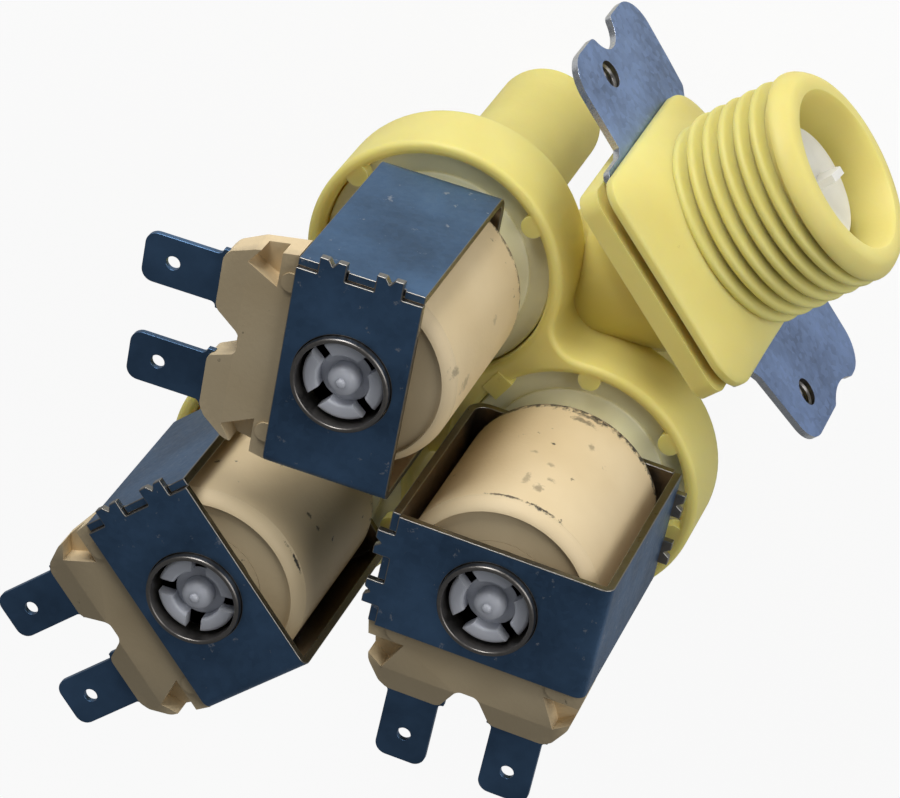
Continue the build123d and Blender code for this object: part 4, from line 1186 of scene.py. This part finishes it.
class VALVE_OT_stage(bpy.types.Operator):
    """Set the pale floor, the lamps and the camera"""
    bl_idname = "inlet_valve.stage"
    bl_label = "Set Stage"

    def execute(self, context):
        scene = context.scene
        scene.view_settings.view_transform = "Standard"
        low, half_width = CAD_BOX[0][2], 4.0
        bm = bmesh.new()
        bmesh.ops.create_grid(bm, x_segments=1, y_segments=1, size=half_width,
                              matrix=Matrix.Translation((0, 0, low)))
        mesh = bpy.data.meshes.new("floor")
        bm.to_mesh(mesh)
        bm.free()
        mesh.materials.append(self.floor_material(tuple(scene.valve_finishes.floor)))
        floor = bpy.data.objects.new("floor", mesh)
        scene.collection.objects.link(floor)
        self.world(scene)
        self.lamps(scene)
        self.camera(scene)
        return {"FINISHED"}

    def floor_material(self, colour):
        """Pale and matt, and nearly white to the camera, with the object's shadow kept faintly."""
        material, tree, principled = shader("Pale Floor", colour, 0.7)
        white_share = 0.92
        glow = tree.nodes.new("ShaderNodeEmission")
        glow.inputs["Color"].default_value = (1, 1, 1, 1)
        mix = tree.nodes.new("ShaderNodeMixShader")
        path = tree.nodes.new("ShaderNodeLightPath")
        seen = maths(tree, "MULTIPLY", path.outputs["Is Camera Ray"], white_share)
        tree.links.new(seen, mix.inputs["Fac"])
        tree.links.new(principled.outputs["BSDF"], mix.inputs[1])
        tree.links.new(glow.outputs["Emission"], mix.inputs[2])
        tree.links.new(mix.outputs["Shader"], tree.nodes["Material Output"].inputs["Surface"])
        return material

    def world(self, scene):
        """A dim, even sky that fills the shadows."""
        world = bpy.data.worlds.new("Studio")
        world.use_nodes = True
        back = world.node_tree.nodes["Background"]
        back.inputs["Color"].default_value = (0.93, 0.96, 1.0, 1)
        back.inputs["Strength"].default_value = 0.175
        scene.world = world

    def lamps(self, scene):
        """Two soft lamps: the key on the left valve's side, a weaker one before the inlet's mouth."""
        target = Vector((-0.025, 0, 0.015))
        lamps = [("Key", (0.17, 0.41, 0.13), 0.26, 1.6), ("Side", (0.36, -0.11, 0.18), 0.34, 0.8)]
        for name, spot, size, power in lamps:
            lamp = bpy.data.lights.new(name, "AREA")
            lamp.shape = "DISK"
            lamp.size = size
            lamp.energy = power
            holder = bpy.data.objects.new(name, lamp)
            holder.location = spot
            holder.rotation_euler = (target - Vector(spot)).to_track_quat("-Z", "Y").to_euler()
            scene.collection.objects.link(holder)

    def camera(self, scene):
        """The photograph's point of view."""
        axis = Vector(CAMERA_TURN)
        turn = Matrix.Rotation(axis.length, 3, axis.normalized())
        shift = Vector(CAMERA_SHIFT) * MM
        lens = bpy.data.cameras.new("Photo view")
        lens.sensor_fit = "HORIZONTAL"
        lens.sensor_width = 36.0
        lens.lens = lens.sensor_width * FOCAL_LENGTH / FRAME_WIDTH
        lens.clip_start = 0.01
        camera = bpy.data.objects.new("Photo view", lens)
        camera.matrix_world = Matrix.LocRotScale(-(turn.transposed() @ shift), turn.transposed(), None)
        scene.collection.objects.link(camera)
        scene.camera = camera


class VALVE_PT_panel(bpy.types.Panel):
    """Lists the valve's pieces and their sizes"""
    bl_label = "Inlet Valve"
    bl_idname = "VALVE_PT_panel"
    bl_space_type = "VIEW_3D"
    bl_region_type = "UI"
    bl_category = "Inlet Valve"

    def draw(self, context):
        """A button for each step, and every size and colour."""
        for step in STEPS:
            self.layout.operator(f"inlet_valve.{step}")
        for owner in PROPERTY_OWNERS:
            group = getattr(context.scene, owner)
            box = self.layout.box()
            for name in group.__annotations__:
                box.prop(group, name)


PROPERTY_OWNERS = {"valve_moulding": MouldingSizes, "valve_metal": MetalSizes, "valve_coil": CoilSizes,
                   "valve_finishes": Finishes}
OPERATORS = (VALVE_OT_finishes, VALVE_OT_moulding, VALVE_OT_inlet_thread, VALVE_OT_strainer,
             VALVE_OT_bracket, VALVE_OT_yokes, VALVE_OT_sleeves, VALVE_OT_blades, VALVE_OT_coil_cases,
             VALVE_OT_bobbins, VALVE_OT_guide_tubes, VALVE_OT_springs, VALVE_OT_inner_pieces,
             VALVE_OT_stage)
STEPS = tuple(operator.bl_idname.split(".")[1] for operator in OPERATORS)


def register():
    """Register the sizes, the steps and the panel."""
    for owner, group in PROPERTY_OWNERS.items():
        bpy.utils.register_class(group)
        setattr(bpy.types.Scene, owner, bpy.props.PointerProperty(type=group))
    for operator in OPERATORS:
        bpy.utils.register_class(operator)
    bpy.utils.register_class(VALVE_PT_panel)


def unregister():
    """Take back everything that was registered."""
    bpy.utils.unregister_class(VALVE_PT_panel)
    for operator in reversed(OPERATORS):
        bpy.utils.unregister_class(operator)
    for owner, group in reversed(PROPERTY_OWNERS.items()):
        delattr(bpy.types.Scene, owner)
        bpy.utils.unregister_class(group)


def main():
    """Build the whole scene."""
    register()
    for step in STEPS:
        getattr(bpy.ops.inlet_valve, step)()


if __name__ == "__main__":
    main()
